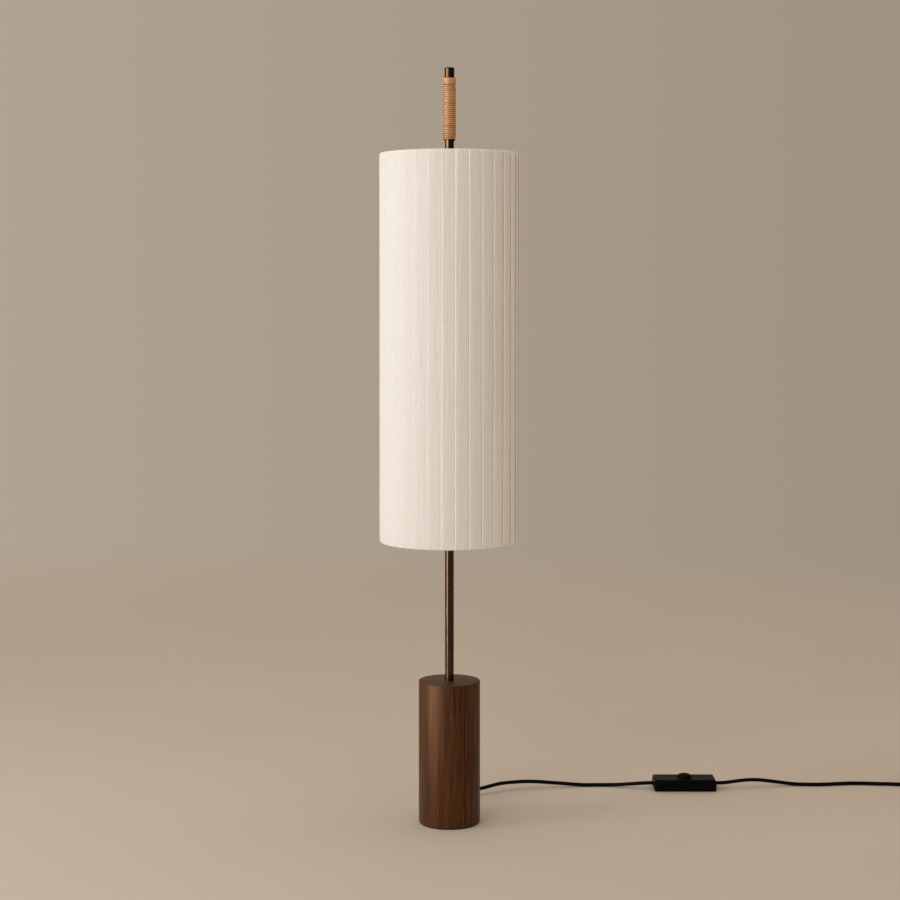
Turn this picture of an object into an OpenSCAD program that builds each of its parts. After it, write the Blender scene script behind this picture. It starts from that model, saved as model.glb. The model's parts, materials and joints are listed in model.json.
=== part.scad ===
// Floor lamp: a tall pleated drum shade on a slim metal stem, with a wood base,
// a wound carrying grip at the top, and a floor switch on the mains lead.
// Sizes are in millimetres. The origin is on the lamp's axis, at floor level, and the lead leaves at the back (+Y).

/* [Overall] */
// Height of the whole lamp
lamp_h = 1350; // [1300:5:1400]

/* [Base] */
// Diameter of the wood base
base_d = 110; // [108:1:124]
// Height of the wood base's top above the floor
base_h = 256; // [240:1:270]
// Thickness of the felt under the base
felt_t = 2; // [1:0.5:4]
// How far the felt stays inside the wood's edge
felt_inset = 2; // [1:0.5:5]
// Thickness of the steel base plate
plate_t = 4; // [3:0.5:6]
// Diameter of the steel base plate
plate_d = 94; // [92:1:98]
// Diameter of the iron ballast
ballast_d = 76; // [70:1:78]
// Height of solid wood above the ballast
wood_cap = 84; // [60:1:100]
// Chamfer round the wood's top edge
top_chamfer = 1.2; // [0.5:0.1:3]
// Chamfer round the wood's foot
foot_chamfer = 1.5; // [0.5:0.1:3]
// Diameter of the wiring chamber in the ballast
chamber_d = 56; // [54:1:60]
// Height of the wiring chamber
chamber_h = 50; // [46:1:60]
// Diameter of the circle of plate screws
screw_circle = 85; // [84:0.5:87]
// Shank diameter of the plate screws
screw_d = 4; // [3:0.5:4]
// Length of the plate screws
screw_l = 25; // [16:1:35]

/* [Stem] */
// Outer diameter of the stem tube
stem_d = 16; // [14:0.5:17]
// Wall of the stem tube
stem_wall = 1.5; // [1:0.1:2]
// Length of stem below the roof of the wiring chamber
stem_tail = 14; // [12:1:18]
// Diameter of the end cap
cap_d = 17.5; // [17:0.1:20]
// Height of the end cap
cap_h = 18.5; // [10:0.5:24]
// Length of the end cap's spigot inside the tube
cap_spigot = 15; // [8:1:25]
// Rounding of the end cap's rim
cap_round = 2; // [0.5:0.5:4]
// Width of the stem nuts across their flats
nut_flats = 24; // [22:1:26]
// Height of the stem nuts
nut_h = 8; // [6:1:9]
// Flange diameter of the upper stem nut
flange_d = 34; // [30:1:38]
// Flange thickness of the upper stem nut
flange_t = 3; // [2:0.5:4]
// Thickness of the washer under the lower nut
washer_t = 2; // [1:0.5:3]
// Outer diameter of that washer
washer_d = 30; // [28:1:34]

/* [Grip] */
// Length of the wound grip, with its band
grip_h = 111.5; // [105:0.5:125]
// Height of the plain band at the grip's top
band_h = 11.5; // [8:0.5:14]
// Outer diameter of the plain band
band_d = 23.6; // [21:0.1:26]
// Thickness of the wound strand
strand_d = 3.5; // [2.5:0.1:3.5]
// Number of turns in the winding
grip_turns = 24; // [18:1:24]

/* [Shade] */
// Diameter of the shade over its pleats
shade_d = 250; // [240:1:262]
// Height of the shade
shade_h = 692; // [640:0.5:720]
// Distance from the lamp's top to the shade's top
shade_drop = 152; // [140:1:170]
// Number of pleats
pleats = 32; // [24:1:40]
// Height of each pleat's step
pleat_depth = 1.4; // [0.8:0.1:2.5]
// Thickness of the cover at the foot of a pleat
cover_t = 1.2; // [0.8:0.1:2]
// Thickness of the stiff lining
lining_t = 0.6; // [0.4:0.1:1]
// Wire thickness of the shade's rings
ring_wire = 4; // [3:0.5:5]
// Wire thickness of the upright ribs
rib_wire = 3.5; // [2.5:0.5:4]
// Number of upright ribs
ribs = 6; // [3:3:9]
// Distance from the shade's rims to its wire rings
ring_inset = 3.5; // [3:0.5:6]
// Distance from the shade's top to its seat on the carrier
seat_drop = 22; // [18:0.5:30]
// Diameter of the spider's centre ring
hub_d = 42; // [40:1:48]
// Thickness of the spider's centre ring
hub_t = 2.5; // [2:0.5:4]
// Wire thickness of the spider's arms
arm_wire = 4; // [3:0.5:4]

/* [Shade carrier] */
// Diameter of the carrier's neck
neck_d = 28; // [26:0.5:30]
// Diameter of the carrier's flange
seat_d = 38; // [35:0.5:40]
// Thickness of the carrier's flange
seat_t = 4; // [3:0.5:6]
// Height of the carrier's collar below its flange
collar_h = 14; // [10:1:24]
// Thickness of the lock ring
lock_t = 6; // [4:0.5:8]
// Outer diameter of the lock ring
lock_d = 37; // [35:0.5:40]
// Diameter of the two grub screws
grub_d = 4; // [3:0.5:5]

/* [Lampholders] */
// Distance from the lamp's axis to each bulb's axis
holder_reach = 50; // [46:0.5:60]
// Outer diameter of the arm tubes
arm_d = 10; // [9:0.5:12]
// Bore of the arm tubes
arm_bore = 6; // [5:0.5:7]
// Diameter of the cluster's collar
cluster_d = 30; // [26:1:34]
// Height of the cluster's collar
cluster_h = 30; // [20:1:40]
// Outer diameter of a lampholder
holder_d = 40; // [38:0.5:44]
// Length of a lampholder
holder_l = 52; // [50:1:60]
// Diameter of the bulb's screw cap
bulb_cap_d = 26.4; // [26:0.1:26.6]
// Diameter of the bulb's globe
bulb_d = 60; // [50:1:64]
// Wall of the bulb's glass
bulb_wall = 1; // [0.8:0.1:1.5]

/* [Floor switch] */
// Length of the switch's case
switch_l = 120; // [116:1:130]
// Width of the switch's case
switch_w = 52; // [46:1:56]
// Height of the switch's case
switch_h = 22; // [21:0.5:26]
// Wall of the switch's case
case_wall = 2; // [1.6:0.1:2.4]
// Corner radius of the case, seen from above
case_corner = 9; // [6:0.5:12]
// Rounding of the case's top edge
case_round = 4.5; // [2.5:0.5:5]
// How far the case's sides lean in from the parting line
case_draft = 1.2; // [0.6:0.1:2]
// Diameter of the push button
button_d = 26.6; // [22:0.2:27]
// Height of the button's crown above the case
button_rise = 7.5; // [6:0.5:9]
// Height of the button's domed part
button_dome = 4.5; // [3:0.5:5]
// Travel of the push button
button_travel = 2.5; // [1.5:0.5:2.5]
// Width of the groove round the button
button_groove = 1.4; // [1:0.1:2.5]
// Diameter of the case screws
case_screw_d = 3; // [2.5:0.1:3.5]

/* [Lead and plug] */
// Diameter of the mains lead
lead_d = 7; // [6:0.1:7.2]
// Height of the lead's outlet above the floor
outlet_z = 18; // [16:0.5:20]
// Length of the strain relief's tail
relief_l = 28; // [20:1:40]
// Diameter of the strain relief in the wood
relief_d = 12; // [11:0.5:14]
// Flange diameter of the strain relief
relief_flange_d = 18; // [16:0.5:20]
// Radius of the coil's first turn
coil_r = 46; // [45:0.5:50]
// Distance between neighbouring turns of the coil
coil_pitch = 7.6; // [7.5:0.1:8]
// Width of the plug
plug_w = 35; // [32:0.5:36]
// Thickness of the plug
plug_t = 13.7; // [12:0.1:14]
// Length of the plug's body
plug_l = 35; // [30:0.5:40]
// Diameter of the plug's pins
pin_d = 4; // [3.6:0.1:4.8]
// Length of the plug's pins
pin_l = 19; // [16:0.5:20]
// Distance between the plug's pins
pin_gap = 19; // [17:0.5:20]

/* [Hidden] */
$fn = 64;

// Colours
walnut = [0.16, 0.10, 0.07];
bronze = [0.12, 0.10, 0.09];
cane = [0.55, 0.40, 0.27];
linen = [0.88, 0.86, 0.80];
plated = [0.70, 0.70, 0.72];
iron = [0.22, 0.22, 0.23];
blacked = [0.06, 0.06, 0.06];
opal = [0.95, 0.95, 0.92];

// Clearances: fit is between fixed pieces, run is between pieces that move against each other
fit = 0.1;
run = 0.3;
turn_fit = 0.08;
over = 1;

// Heights in the base
plate_z = felt_t;
ballast_z = plate_z + plate_t;
ballast_top = base_h - wood_cap;
chamber_z = ballast_z + chamber_h;
stem_z = chamber_z - stem_tail;
nut_pocket = flange_t + nut_h + run;
slot_w = relief_flange_d;
outlet_hole_d = relief_d + 2 * fit;

// Heights up the stem
stem_top = lamp_h - cap_h;
stem_id = stem_d - 2 * stem_wall;
grip_top = stem_top;
band_z = grip_top - band_h;
grip_z = grip_top - grip_h;
wire_d = 4;
wire_x = 2.6;
side_hole_d = arm_bore;

// Shade
shade_top = lamp_h - shade_drop;
shade_z = shade_top - shade_h;
pleat_low_r = shade_d / 2 - pleat_depth;
cover_r = pleat_low_r - cover_t;
lining_r = cover_r - fit;
ring_r = lining_r - lining_t - run - ring_wire / 2;
top_ring_z = shade_top - ring_inset;
bottom_ring_z = shade_z + ring_inset;
seat_z = shade_top - seat_drop;
hub_z = seat_z + run;
lock_z = hub_z + hub_t + run;
neck_top = lock_z + lock_t + 1;
cluster_z = (shade_top + shade_z) / 2;
spider_arms_n = 3;
spider_turn = 90;
rib_turn = 30;
// One raised edge of the pleats stands at this angle, and each pleat rises over a small share of its width
pleat_turn = 4.7;
pleat_rise = 0.045;

// Lampholder, measured up its own axis from its seat on the arm
holder_seat = 9;
holder_wall = 3;
holder_foot_r = 14;
holder_shoulder = 8;
deck_z = 26;
deck_t = 4;
socket_r = bulb_cap_d / 2 + 1.8;
socket_wall = 1.5;
contact_r = 3;
cap_foot_z = deck_z + deck_t + 1.5;
bulb_seat_z = holder_l + 6;
neck_angle = -60;
globe_z = bulb_seat_z + 10 + bulb_d / 2 * sin(-neck_angle);

// Floor switch, with its middle at this place on the floor
switch_at = [450, 227];
split_z = switch_h / 2;
roof_z = switch_h - case_wall - 0.5;
lead_z = split_z;
button_hole_d = button_d + 2 * run;
button_flange_d = button_d + 4;
button_flange_t = 2.2;
button_wall = 2;
button_deck_z = switch_h - 2;
block_top = 9.5;
block_l = 48;
block_w = 20;
tower_l = 7.5;
tower_w = 14;
tower_top = split_z + 2.5;
plunger_d = 6;
spring_wire = 1.2;
spring_d = 16;
spring_turns = 4;
spring_rings = 12;
spring_sides = 5;
post_x = switch_l / 2 - 11;
post_y = switch_w / 2 - 7.5;
post_d = 7;
clamp_x = 40;
clamp_y = 8;
clamp_l = 6;
clamp_t = 2.6;
sheath_end = 33;
core_d = 2.4;
core_y = 1.9;

// Where the lead leaves the strain relief, and where it goes through the switch's ends
tail_out_y = base_d / 2 + relief_l + 2;
switch_in_x = switch_at.x - switch_l / 2;
switch_out_x = switch_at.x + switch_l / 2;
straight = 4;

// The lead's two free stretches on the floor as the photograph shows them, without their ends
lay_to_switch = [
    [0.6, 100.1, 17.8], [3.5, 115.4, 16.8], [9, 130.2, 15.2], [17, 144.7, 13.6], [28, 158.3, 12.4],
    [40.5, 169.9, 11.8], [53, 178.8, 11.7], [65, 187, 12], [80, 197, 13.4], [95, 207, 14.4], [110, 215.5, 14.2],
    [126, 221.5, 14], [141, 225.5, 13.9], [156, 228.5, 13.2], [171, 231.3, 12], [187, 234, 10.2],
    [202, 236.2, 8.6], [217, 237.6, 7.2], [233, 238.6, 5.6], [250, 239.6, 4.2], [267, 240.6, 3.5],
    [284, 241.2, 3.5], [301.8, 240.4, 3.7], [320, 237.8, 4.7], [338.3, 233.8, 6.6], [354.3, 230.2, 8.6],
    [367.2, 228, 10], [379, 227.1, 10.9]
];
lay_to_coil = [
    [521, 227.1, 11.1], [534.9, 228, 12], [548.9, 230.5, 13.3], [563.8, 233.8, 14.2], [579.6, 237, 14.4],
    [594.4, 239.8, 13.4], [610, 242, 11.4], [626, 244, 9], [642, 245.4, 6.6], [657, 246, 4.6], [671, 246, 3.5],
    [686, 244.8, 3.5], [701, 244, 3.5], [717, 244.4, 3.5], [733, 246.6, 3.5], [749, 249.6, 3.5],
    [766, 252, 3.5], [782, 253, 3.5], [799, 252.4, 3.5], [816, 250.6, 3.5], [833, 248.8, 3.5],
    [850, 247.4, 3.5], [867, 244.5, 3.5], [885, 241.8, 3.5], [903, 239.6, 3.5], [921, 237.4, 3.5],
    [931, 236, 3.5]
];
cord_sides = 8;

// Coil: it starts where the second stretch ends, spirals in, climbs a layer where it turns, and spirals out
coil_start = [938, 236, 3.5];
coil_axis = [coil_start.x + lead_d, coil_start.y + coil_r];
coil_in = 2.25;
coil_turns = 5.25;
climb_from = 2;
climb_to = 2.5;
drop_from = 5;
coil_low = lead_d / 2;
coil_high = coil_low + coil_pitch;
plug_mid_z = plug_t / 2 + 0.15;
coil_tail = 10;
route_to_switch = concat(
    [[0, tail_out_y, outlet_z], [0, tail_out_y + straight, outlet_z]],
    lay_to_switch,
    [[switch_in_x - straight, switch_at.y, lead_z], [switch_in_x, switch_at.y, lead_z]]
);
route_to_coil = concat(
    [[switch_out_x, switch_at.y, lead_z], [switch_out_x + straight, switch_at.y, lead_z]],
    lay_to_coil,
    [coil_start]
);
loop_rings = 24;
loop_sides = 6;

// Plug, measured along +Y from the coil's end
tail_l = 28;
plug_at = [coil_axis.x + coil_radius(coil_turns), coil_axis.y + coil_tail, plug_mid_z];

// A point on a circle, and an arc of such points
function polar(r, a) = [r * cos(a), r * sin(a)];
function arc(c, r, from, to, steps = 8) = [for (i = [0:steps]) c + polar(r, from + (to - from) * i / steps)];
function unit(v) = v / norm(v);

// Coil radius and height after t turns
function coil_radius(t) =
    t < coil_in ? coil_r - coil_pitch * t : coil_r - coil_pitch * (2 * coil_in - t);
function coil_height(t) =
    t < climb_from ? coil_low :
    t < climb_to ? coil_low + (coil_high - coil_low) * (t - climb_from) / (climb_to - climb_from) :
    t < drop_from ? coil_high :
    coil_high + (plug_mid_z - coil_high) * (t - drop_from) / (coil_turns - drop_from);
function coil_point(t) = let (p = coil_axis + polar(coil_radius(t), 360 * t - 90)) [p.x, p.y, coil_height(t)];
function coil_path() = concat(
    [coil_start],
    [for (i = [0:coil_turns * loop_rings]) coil_point(i / loop_rings)],
    [[plug_at.x, plug_at.y, plug_at.z]]
);

// A helix up its own axis, which runs straight on for a length of tail at each end
function helix(r, z, pitch, turns, rings, tail) =
    let (
        tail_rise = pitch * tail / (2 * PI * r),
        end = polar(r, 360 * turns) + polar(tail, 360 * turns + 90)
    )
    concat(
        [[r, -tail, z - tail_rise]],
        [for (i = [0:turns * rings]) let (p = polar(r, 360 * i / rings)) [p.x, p.y, z + pitch * i / rings]],
        [[end.x, end.y, z + pitch * turns + tail_rise]]
    );

// Least distance from a point to the stretch between two others, and from a path to its own later turns
function to_stretch(p, a, b) =
    let (along = b - a, s = max(0, min(1, (p - a) * along / (along * along)))) norm(p - a - s * along);
function own_gap(path, skip, reach) = min([
    for (i = [0:len(path) - skip - 2])
        for (j = [i + skip:min(i + reach, len(path) - 2)])
            to_stretch(path[i], path[j], path[j + 1])
]);

// Outline of the pleated cover: each pleat steps up at one edge and slopes down to the next
function pleat_outline() = [
    for (k = [0:pleats - 1])
        let (a = pleat_turn + 360 * k / pleats, w = 360 * pleat_rise / pleats)
        each [
            polar(pleat_low_r, a),
            polar(pleat_low_r + 0.75 * pleat_depth, a + 0.3 * w),
            polar(shade_d / 2, a + w),
            polar(shade_d / 2 - 0.08 * pleat_depth, a + 3 * w)
        ]
];

// A side view of the switch's case, widest at the parting line, drawn inset by t
function case_profile(width, t) =
    let (
        half = width / 2 - t,
        top = switch_h - t,
        foot_r = max(case_round / 2 - t, 0.4),
        top_r = max(case_round - t, 0.6),
        x_top = half - case_draft - top_r,
        x_foot = half - case_draft - foot_r
    )
    concat(
        [[half, split_z]],
        arc([x_top, top - top_r], top_r, 0, 90, 5),
        arc([-x_top, top - top_r], top_r, 90, 180, 5),
        [[-half, split_z]],
        arc([-x_foot, t + foot_r], foot_r, 180, 270, 4),
        arc([x_foot, t + foot_r], foot_r, 270, 360, 4)
    );

// Round-cornered rectangle from arcs
function round_rect(l, w, r) = concat(
    arc([l / 2 - r, w / 2 - r], r, 0, 90),
    arc([r - l / 2, w / 2 - r], r, 90, 180),
    arc([r - l / 2, r - w / 2], r, 180, 270),
    arc([l / 2 - r, r - w / 2], r, 270, 360)
);

// Shared shapes

// One tube swept along a path that stays near level: rings of straight sides, closed at both ends
module swept_tube(path, r, sides) {
    last = len(path) - 1;
    points = [
        for (i = [0:last])
            let (
                ahead = unit(path[min(i + 1, last)] - path[max(i - 1, 0)]),
                side = unit(cross(ahead, [0, 0, 1])),
                up = cross(side, ahead)
            )
            for (k = [0:sides - 1])
                let (a = 360 * (k + 0.5) / sides) path[i] + r * (cos(a) * side + sin(a) * up)
    ];
    skin = [
        for (i = [0:last - 1])
            for (k = [0:sides - 1])
                let (n = (k + 1) % sides, a = i * sides, b = a + sides)
                each [[a + k, a + n, b + n], [a + k, b + n, b + k]]
    ];
    first_end = [for (k = [1:sides - 2]) [0, k + 1, k]];
    last_end = [for (k = [1:sides - 2]) [last * sides, last * sides + k, last * sides + k + 1]];
    polyhedron(points = points, faces = concat(skin, first_end, last_end));
}

// A tube between two heights
module ring_between(outer, inner, z, h) {
    translate([0, 0, z])
        difference() {
            cylinder(d = outer, h = h);
            translate([0, 0, -over])
                cylinder(d = inner, h = h + 2 * over);
        }
}

// Hexagonal nut
module hex_nut(flats, bore, h) {
    difference() {
        cylinder(d = flats / cos(30), h = h, $fn = 6);
        translate([0, 0, -over])
            cylinder(d = bore, h = h + 2 * over);
    }
}

// Wire ring of the shade
module wire_ring(z) {
    translate([0, 0, z])
        rotate_extrude()
            translate([ring_r, 0])
                circle(d = ring_wire, $fn = 32);
}

// Rod along +Y, starting at y
module rod_y(d, y, l) {
    translate([0, y, 0])
        rotate([-90, 0, 0])
            cylinder(d = d, h = l);
}

// Rod along X between two places
module rod_x(d, x0, x1) {
    translate([min(x0, x1), 0, 0])
        rotate([0, 90, 0])
            cylinder(d = d, h = abs(x1 - x0));
}

// Places of the plate screws
module at_plate_screws() {
    for (k = [0:2])
        rotate(30 + 120 * k)
            translate([screw_circle / 2, 0, plate_z])
                children();
}

// Base

module felt_pad() {
    color(blacked)
        cylinder(d = base_d - 2 * felt_inset, h = felt_t);
}

module base_plate() {
    color(iron)
        difference() {
            translate([0, 0, plate_z])
                cylinder(d = plate_d, h = plate_t);
            at_plate_screws() {
                translate([0, 0, -over])
                    cylinder(d = screw_d + 2 * fit, h = plate_t + 2 * over);
                translate([0, 0, -0.01])
                    cylinder(d1 = 2 * screw_d + 2 * fit, d2 = screw_d + 2 * fit, h = screw_d / 2);
            }
        }
}

module base_screws() {
    color(plated)
        at_plate_screws() {
            difference() {
                union() {
                    cylinder(d1 = 2 * screw_d - fit, d2 = screw_d, h = screw_d / 2);
                    cylinder(d = screw_d, h = screw_l - screw_d);
                    translate([0, 0, screw_l - screw_d])
                        cylinder(d1 = screw_d, d2 = 0.5, h = screw_d);
                }
                for (turn = [0, 90])
                    rotate(turn)
                        cube([screw_d, 0.8, 2], center = true);
            }
        }
}

module wood_base() {
    r = base_d / 2;
    color(walnut)
        difference() {
            rotate_extrude()
                polygon([
                    [0, plate_z], [r - foot_chamfer, plate_z], [r, plate_z + foot_chamfer],
                    [r, base_h - top_chamfer], [r - top_chamfer, base_h], [0, base_h]
                ]);
            translate([0, 0, plate_z - over])
                cylinder(d = plate_d + 2 * fit, h = plate_t + over);
            translate([0, 0, plate_z])
                cylinder(d = ballast_d + 4 * fit, h = ballast_top + fit - plate_z);
            translate([0, 0, ballast_top])
                cylinder(d = flange_d + 2, h = nut_pocket);
            translate([0, 0, ballast_top])
                cylinder(d = stem_d + 2 * fit, h = wood_cap + over);
            translate([0, 0, outlet_z])
                rod_y(outlet_hole_d, ballast_d / 4, base_d);
            at_plate_screws()
                cylinder(d = screw_d + 2 * fit, h = screw_l + fit);
        }
}

module ballast() {
    color(iron)
        difference() {
            translate([0, 0, ballast_z])
                cylinder(d = ballast_d, h = ballast_top - ballast_z);
            translate([0, 0, ballast_z - over])
                cylinder(d = chamber_d, h = chamber_h + over);
            cylinder(d = stem_d + 2 * fit, h = ballast_top + over);
            translate([-slot_w / 2, 0, ballast_z - over])
                cube([slot_w, ballast_d, outlet_z + slot_w / 2 - ballast_z + over]);
        }
}

module stem_washer() {
    color(plated)
        ring_between(washer_d, stem_d + 2 * fit, chamber_z - washer_t, washer_t);
}

module stem_nut() {
    color(plated)
        translate([0, 0, chamber_z - washer_t - nut_h])
            hex_nut(nut_flats, stem_d + 2 * fit, nut_h);
}

module stem_flange_nut() {
    color(plated)
        translate([0, 0, ballast_top])
            union() {
                ring_between(flange_d, stem_d + 2 * fit, 0, flange_t);
                translate([0, 0, flange_t])
                    hex_nut(nut_flats, stem_d + 2 * fit, nut_h);
            }
}

// Lead inside the base

// The flange lies on the curved wood, and a shoulder inside keeps the bush from pulling out
module cord_relief() {
    wood_r = base_d / 2;
    color(blacked)
        difference() {
            union() {
                translate([0, 0, outlet_z])
                    rod_y(relief_d, ballast_d / 2 + 1, wood_r + 1 - ballast_d / 2);
                difference() {
                    translate([0, 0, outlet_z])
                        rod_y(relief_flange_d, wood_r - 4, 6.5);
                    cylinder(r = wood_r, h = base_h);
                }
                translate([0, wood_r + 2.5, outlet_z])
                    rotate([-90, 0, 0])
                        cylinder(d1 = relief_d + 0.6, d2 = lead_d + 2, h = relief_l - 0.5);
            }
            translate([0, 0, outlet_z])
                rod_y(lead_d + 2 * fit, 0, wood_r + relief_l + 10);
            for (k = [0:3])
                translate([0, wood_r + 9 + 5 * k, outlet_z])
                    rotate([-90, 0, 0])
                        difference() {
                            cylinder(d = relief_d + 4, h = 1.4);
                            translate([0, 0, -over])
                                cylinder(d = lead_d + 1.4, h = 1.4 + 2 * over);
                        }
        }
}

anchor_y = 13;
anchor_l = 9;
anchor_w = 26;
anchor_screw_x = 8.5;
block_y = 2;
terminal_w = 24;
terminal_d = 15;
terminal_h = 16;

module lead_tail() {
    color(blacked)
        translate([0, 0, outlet_z])
            union() {
                rod_y(lead_d, anchor_y - 4, tail_out_y - anchor_y + 4);
                for (x = [-core_y, core_y])
                    translate([x, 0, 0])
                        rod_y(core_d, block_y + 2, anchor_y - block_y - 4);
            }
}

module at_anchor_screws() {
    for (x = [-anchor_screw_x, anchor_screw_x])
        translate([x, anchor_y + anchor_l / 2, 0])
            children();
}

module anchor_block() {
    color(blacked)
        difference() {
            translate([-anchor_w / 2, anchor_y, ballast_z])
                cube([anchor_w, anchor_l, outlet_z - ballast_z - 0.4]);
            translate([0, 0, outlet_z])
                rod_y(lead_d + 2 * fit, 0, chamber_d);
            at_anchor_screws()
                translate([0, 0, ballast_z + 3])
                    cylinder(d = 3 + 2 * fit, h = chamber_h);
        }
}

module anchor_bridge() {
    color(blacked)
        difference() {
            translate([-anchor_w / 2, anchor_y, outlet_z])
                cube([anchor_w, anchor_l, 7]);
            translate([0, 0, outlet_z])
                rod_y(lead_d + 2 * fit, 0, chamber_d);
            at_anchor_screws()
                translate([0, 0, ballast_z])
                    cylinder(d = 3 + 2 * fit, h = chamber_h);
        }
}

module anchor_screws() {
    head_z = outlet_z + 7;
    color(plated)
        at_anchor_screws()
            difference() {
                union() {
                    translate([0, 0, ballast_z + 4])
                        cylinder(d = 3, h = head_z - ballast_z - 4);
                    translate([0, 0, head_z])
                        cylinder(d = 5.6, h = 2);
                }
                translate([-3, -0.4, head_z + 1])
                    cube([6, 0.8, 2]);
            }
}

module terminal_block() {
    color(linen)
        difference() {
            translate([-terminal_w / 2, block_y + 2 - terminal_d, ballast_z])
                cube([terminal_w, terminal_d, terminal_h]);
            for (x = [-8, 8])
                translate([x, block_y + 2 - terminal_d / 2, ballast_z + terminal_h - 5])
                    cylinder(d = 4, h = 5 + over);
        }
}

// One flex from the terminal block up the stem, out along an arm and into a lampholder
module flex_run(side) {
    rise = holder_seat + deck_z + deck_t - 1;
    union() {
        translate([side * wire_x, 0, ballast_z + terminal_h])
            cylinder(d = wire_d, h = cluster_z - ballast_z - terminal_h);
        translate([side * wire_x, 0, cluster_z])
            sphere(d = wire_d);
        translate([0, 0, cluster_z])
            rod_x(wire_d, side * wire_x, side * holder_reach);
        translate([side * holder_reach, 0, cluster_z])
            sphere(d = wire_d);
        translate([side * holder_reach, 0, cluster_z - (side > 0 ? rise : 0)])
            cylinder(d = wire_d, h = rise);
    }
}

module lamp_wires() {
    color(linen) {
        flex_run(-1);
        flex_run(1);
    }
}

// Stem and grip

module stem_tube() {
    color(bronze)
        difference() {
            ring_between(stem_d, stem_id, stem_z, stem_top - stem_z);
            translate([0, 0, cluster_z])
                rod_x(side_hole_d, -stem_d, stem_d);
        }
}

module end_cap() {
    r = cap_d / 2;
    color(bronze)
        union() {
            rotate_extrude()
                polygon(concat(
                    [[0, stem_top], [r - 0.5, stem_top], [r, stem_top + 0.5]],
                    arc([r - cap_round, lamp_h - cap_round], cap_round, 0, 90, 6),
                    [[0, lamp_h]]
                ));
            translate([0, 0, stem_top - cap_spigot])
                cylinder(d = stem_id - 2 * fit, h = cap_spigot);
        }
}

wrap_r = stem_d / 2 + run + strand_d / 2;
wrap_z = grip_z + strand_d / 2;
wrap_pitch = (band_z - run - strand_d / 2 - wrap_z) / grip_turns;

module grip_wrap() {
    path = helix(wrap_r, wrap_z, wrap_pitch, grip_turns, loop_rings, strand_d);
    echo(grip_gap = own_gap(path, loop_rings / 2, 3 * loop_rings / 2) - strand_d);
    color(cane)
        swept_tube(path, strand_d / 2, loop_sides);
}

module grip_band() {
    r = band_d / 2;
    color(cane)
        rotate_extrude()
            polygon(concat(
                [[stem_d / 2 + fit, band_z], [r - 1.2, band_z]],
                arc([r - 1.2, band_z + 1.2], 1.2, -90, 0, 5),
                arc([r - 1.2, grip_top - 1.2], 1.2, 0, 90, 5),
                [[stem_d / 2 + fit, grip_top]]
            ));
}

// Lampholders

module lamp_cluster() {
    color(iron)
        difference() {
            union() {
                translate([0, 0, cluster_z - cluster_h / 2])
                    cylinder(d = cluster_d, h = cluster_h);
                translate([0, 0, cluster_z])
                    rod_x(arm_d, -holder_reach, holder_reach);
                for (side = [-1, 1])
                    translate([side * holder_reach, 0, cluster_z])
                        sphere(d = arm_d + 4);
                translate([-holder_reach, 0, cluster_z])
                    cylinder(d = arm_d, h = holder_seat + holder_wall + 1);
                translate([holder_reach, 0, cluster_z - holder_seat - holder_wall - 1])
                    cylinder(d = arm_d, h = holder_seat + holder_wall + 1);
            }
            translate([0, 0, cluster_z - cluster_h])
                cylinder(d = stem_d + 2 * fit, h = 2 * cluster_h);
            translate([0, 0, cluster_z])
                rod_x(arm_bore, -holder_reach, holder_reach);
            translate([-holder_reach, 0, cluster_z])
                cylinder(d = arm_bore, h = 2 * holder_seat);
            translate([holder_reach, 0, cluster_z - 2 * holder_seat])
                cylinder(d = arm_bore, h = 2 * holder_seat);
            for (side = [-1, 1])
                translate([side * holder_reach, 0, cluster_z])
                    sphere(d = arm_bore);
            translate([0, 0, cluster_z + cluster_h / 4])
                rod_y(grub_d + 2 * fit, -cluster_d, cluster_d);
        }
}

// Grub screw that presses on the stem from the front, at height z, out to radius r
module grub_screw(z, r) {
    difference() {
        translate([0, 0, z])
            rod_y(grub_d, -r, r - stem_d / 2 - fit);
        translate([0, 0, z])
            rod_y(grub_d / 2, -r - over, 2 + over, $fn = 6);
    }
}

module cluster_screw() {
    color(plated)
        grub_screw(cluster_z + cluster_h / 4, cluster_d / 2);
}

module upper_seat() {
    translate([-holder_reach, 0, cluster_z + holder_seat])
        children();
}

module lower_seat() {
    translate([holder_reach, 0, cluster_z - holder_seat])
        mirror([0, 0, 1])
            children();
}

module holder_shell() {
    r = holder_d / 2;
    inner = r - holder_wall;
    rotate_extrude()
        polygon([
            [arm_d / 2 + fit, 0], [holder_foot_r, 0], [r, holder_shoulder], [r, holder_l],
            [socket_r, holder_l], [socket_r, deck_z + deck_t], [contact_r, deck_z + deck_t],
            [contact_r, deck_z], [inner, deck_z], [inner, holder_shoulder + 1],
            [holder_foot_r - 1, holder_wall], [arm_d / 2 + fit, holder_wall]
        ]);
}

module socket_shell() {
    outer = socket_r - fit;
    inner = outer - socket_wall;
    foot = deck_z + deck_t;
    rotate_extrude()
        polygon([
            [contact_r, foot], [outer, foot], [outer, holder_l - 1], [inner, holder_l - 1],
            [inner, foot + 1], [contact_r, foot + 1]
        ]);
}

module screw_cap() {
    r = bulb_cap_d / 2;
    skin = 0.8;
    rotate_extrude()
        polygon([
            [0, cap_foot_z], [contact_r + 1, cap_foot_z], [contact_r + 2, cap_foot_z + 2],
            [r - 1.5, cap_foot_z + 3.5], [r, cap_foot_z + 5], [r, bulb_seat_z], [r - skin, bulb_seat_z],
            [r - skin, cap_foot_z + 6], [0, cap_foot_z + 4]
        ]);
}

module bulb_globe() {
    r = bulb_d / 2;
    foot_r = bulb_cap_d / 2 - fit;
    rotate_extrude()
        polygon(concat(
            [[foot_r, bulb_seat_z]],
            arc([0, globe_z], r, neck_angle, 90, 24),
            arc([0, globe_z], r - bulb_wall, 90, neck_angle, 24),
            [[foot_r - bulb_wall, bulb_seat_z]]
        ));
}

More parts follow.
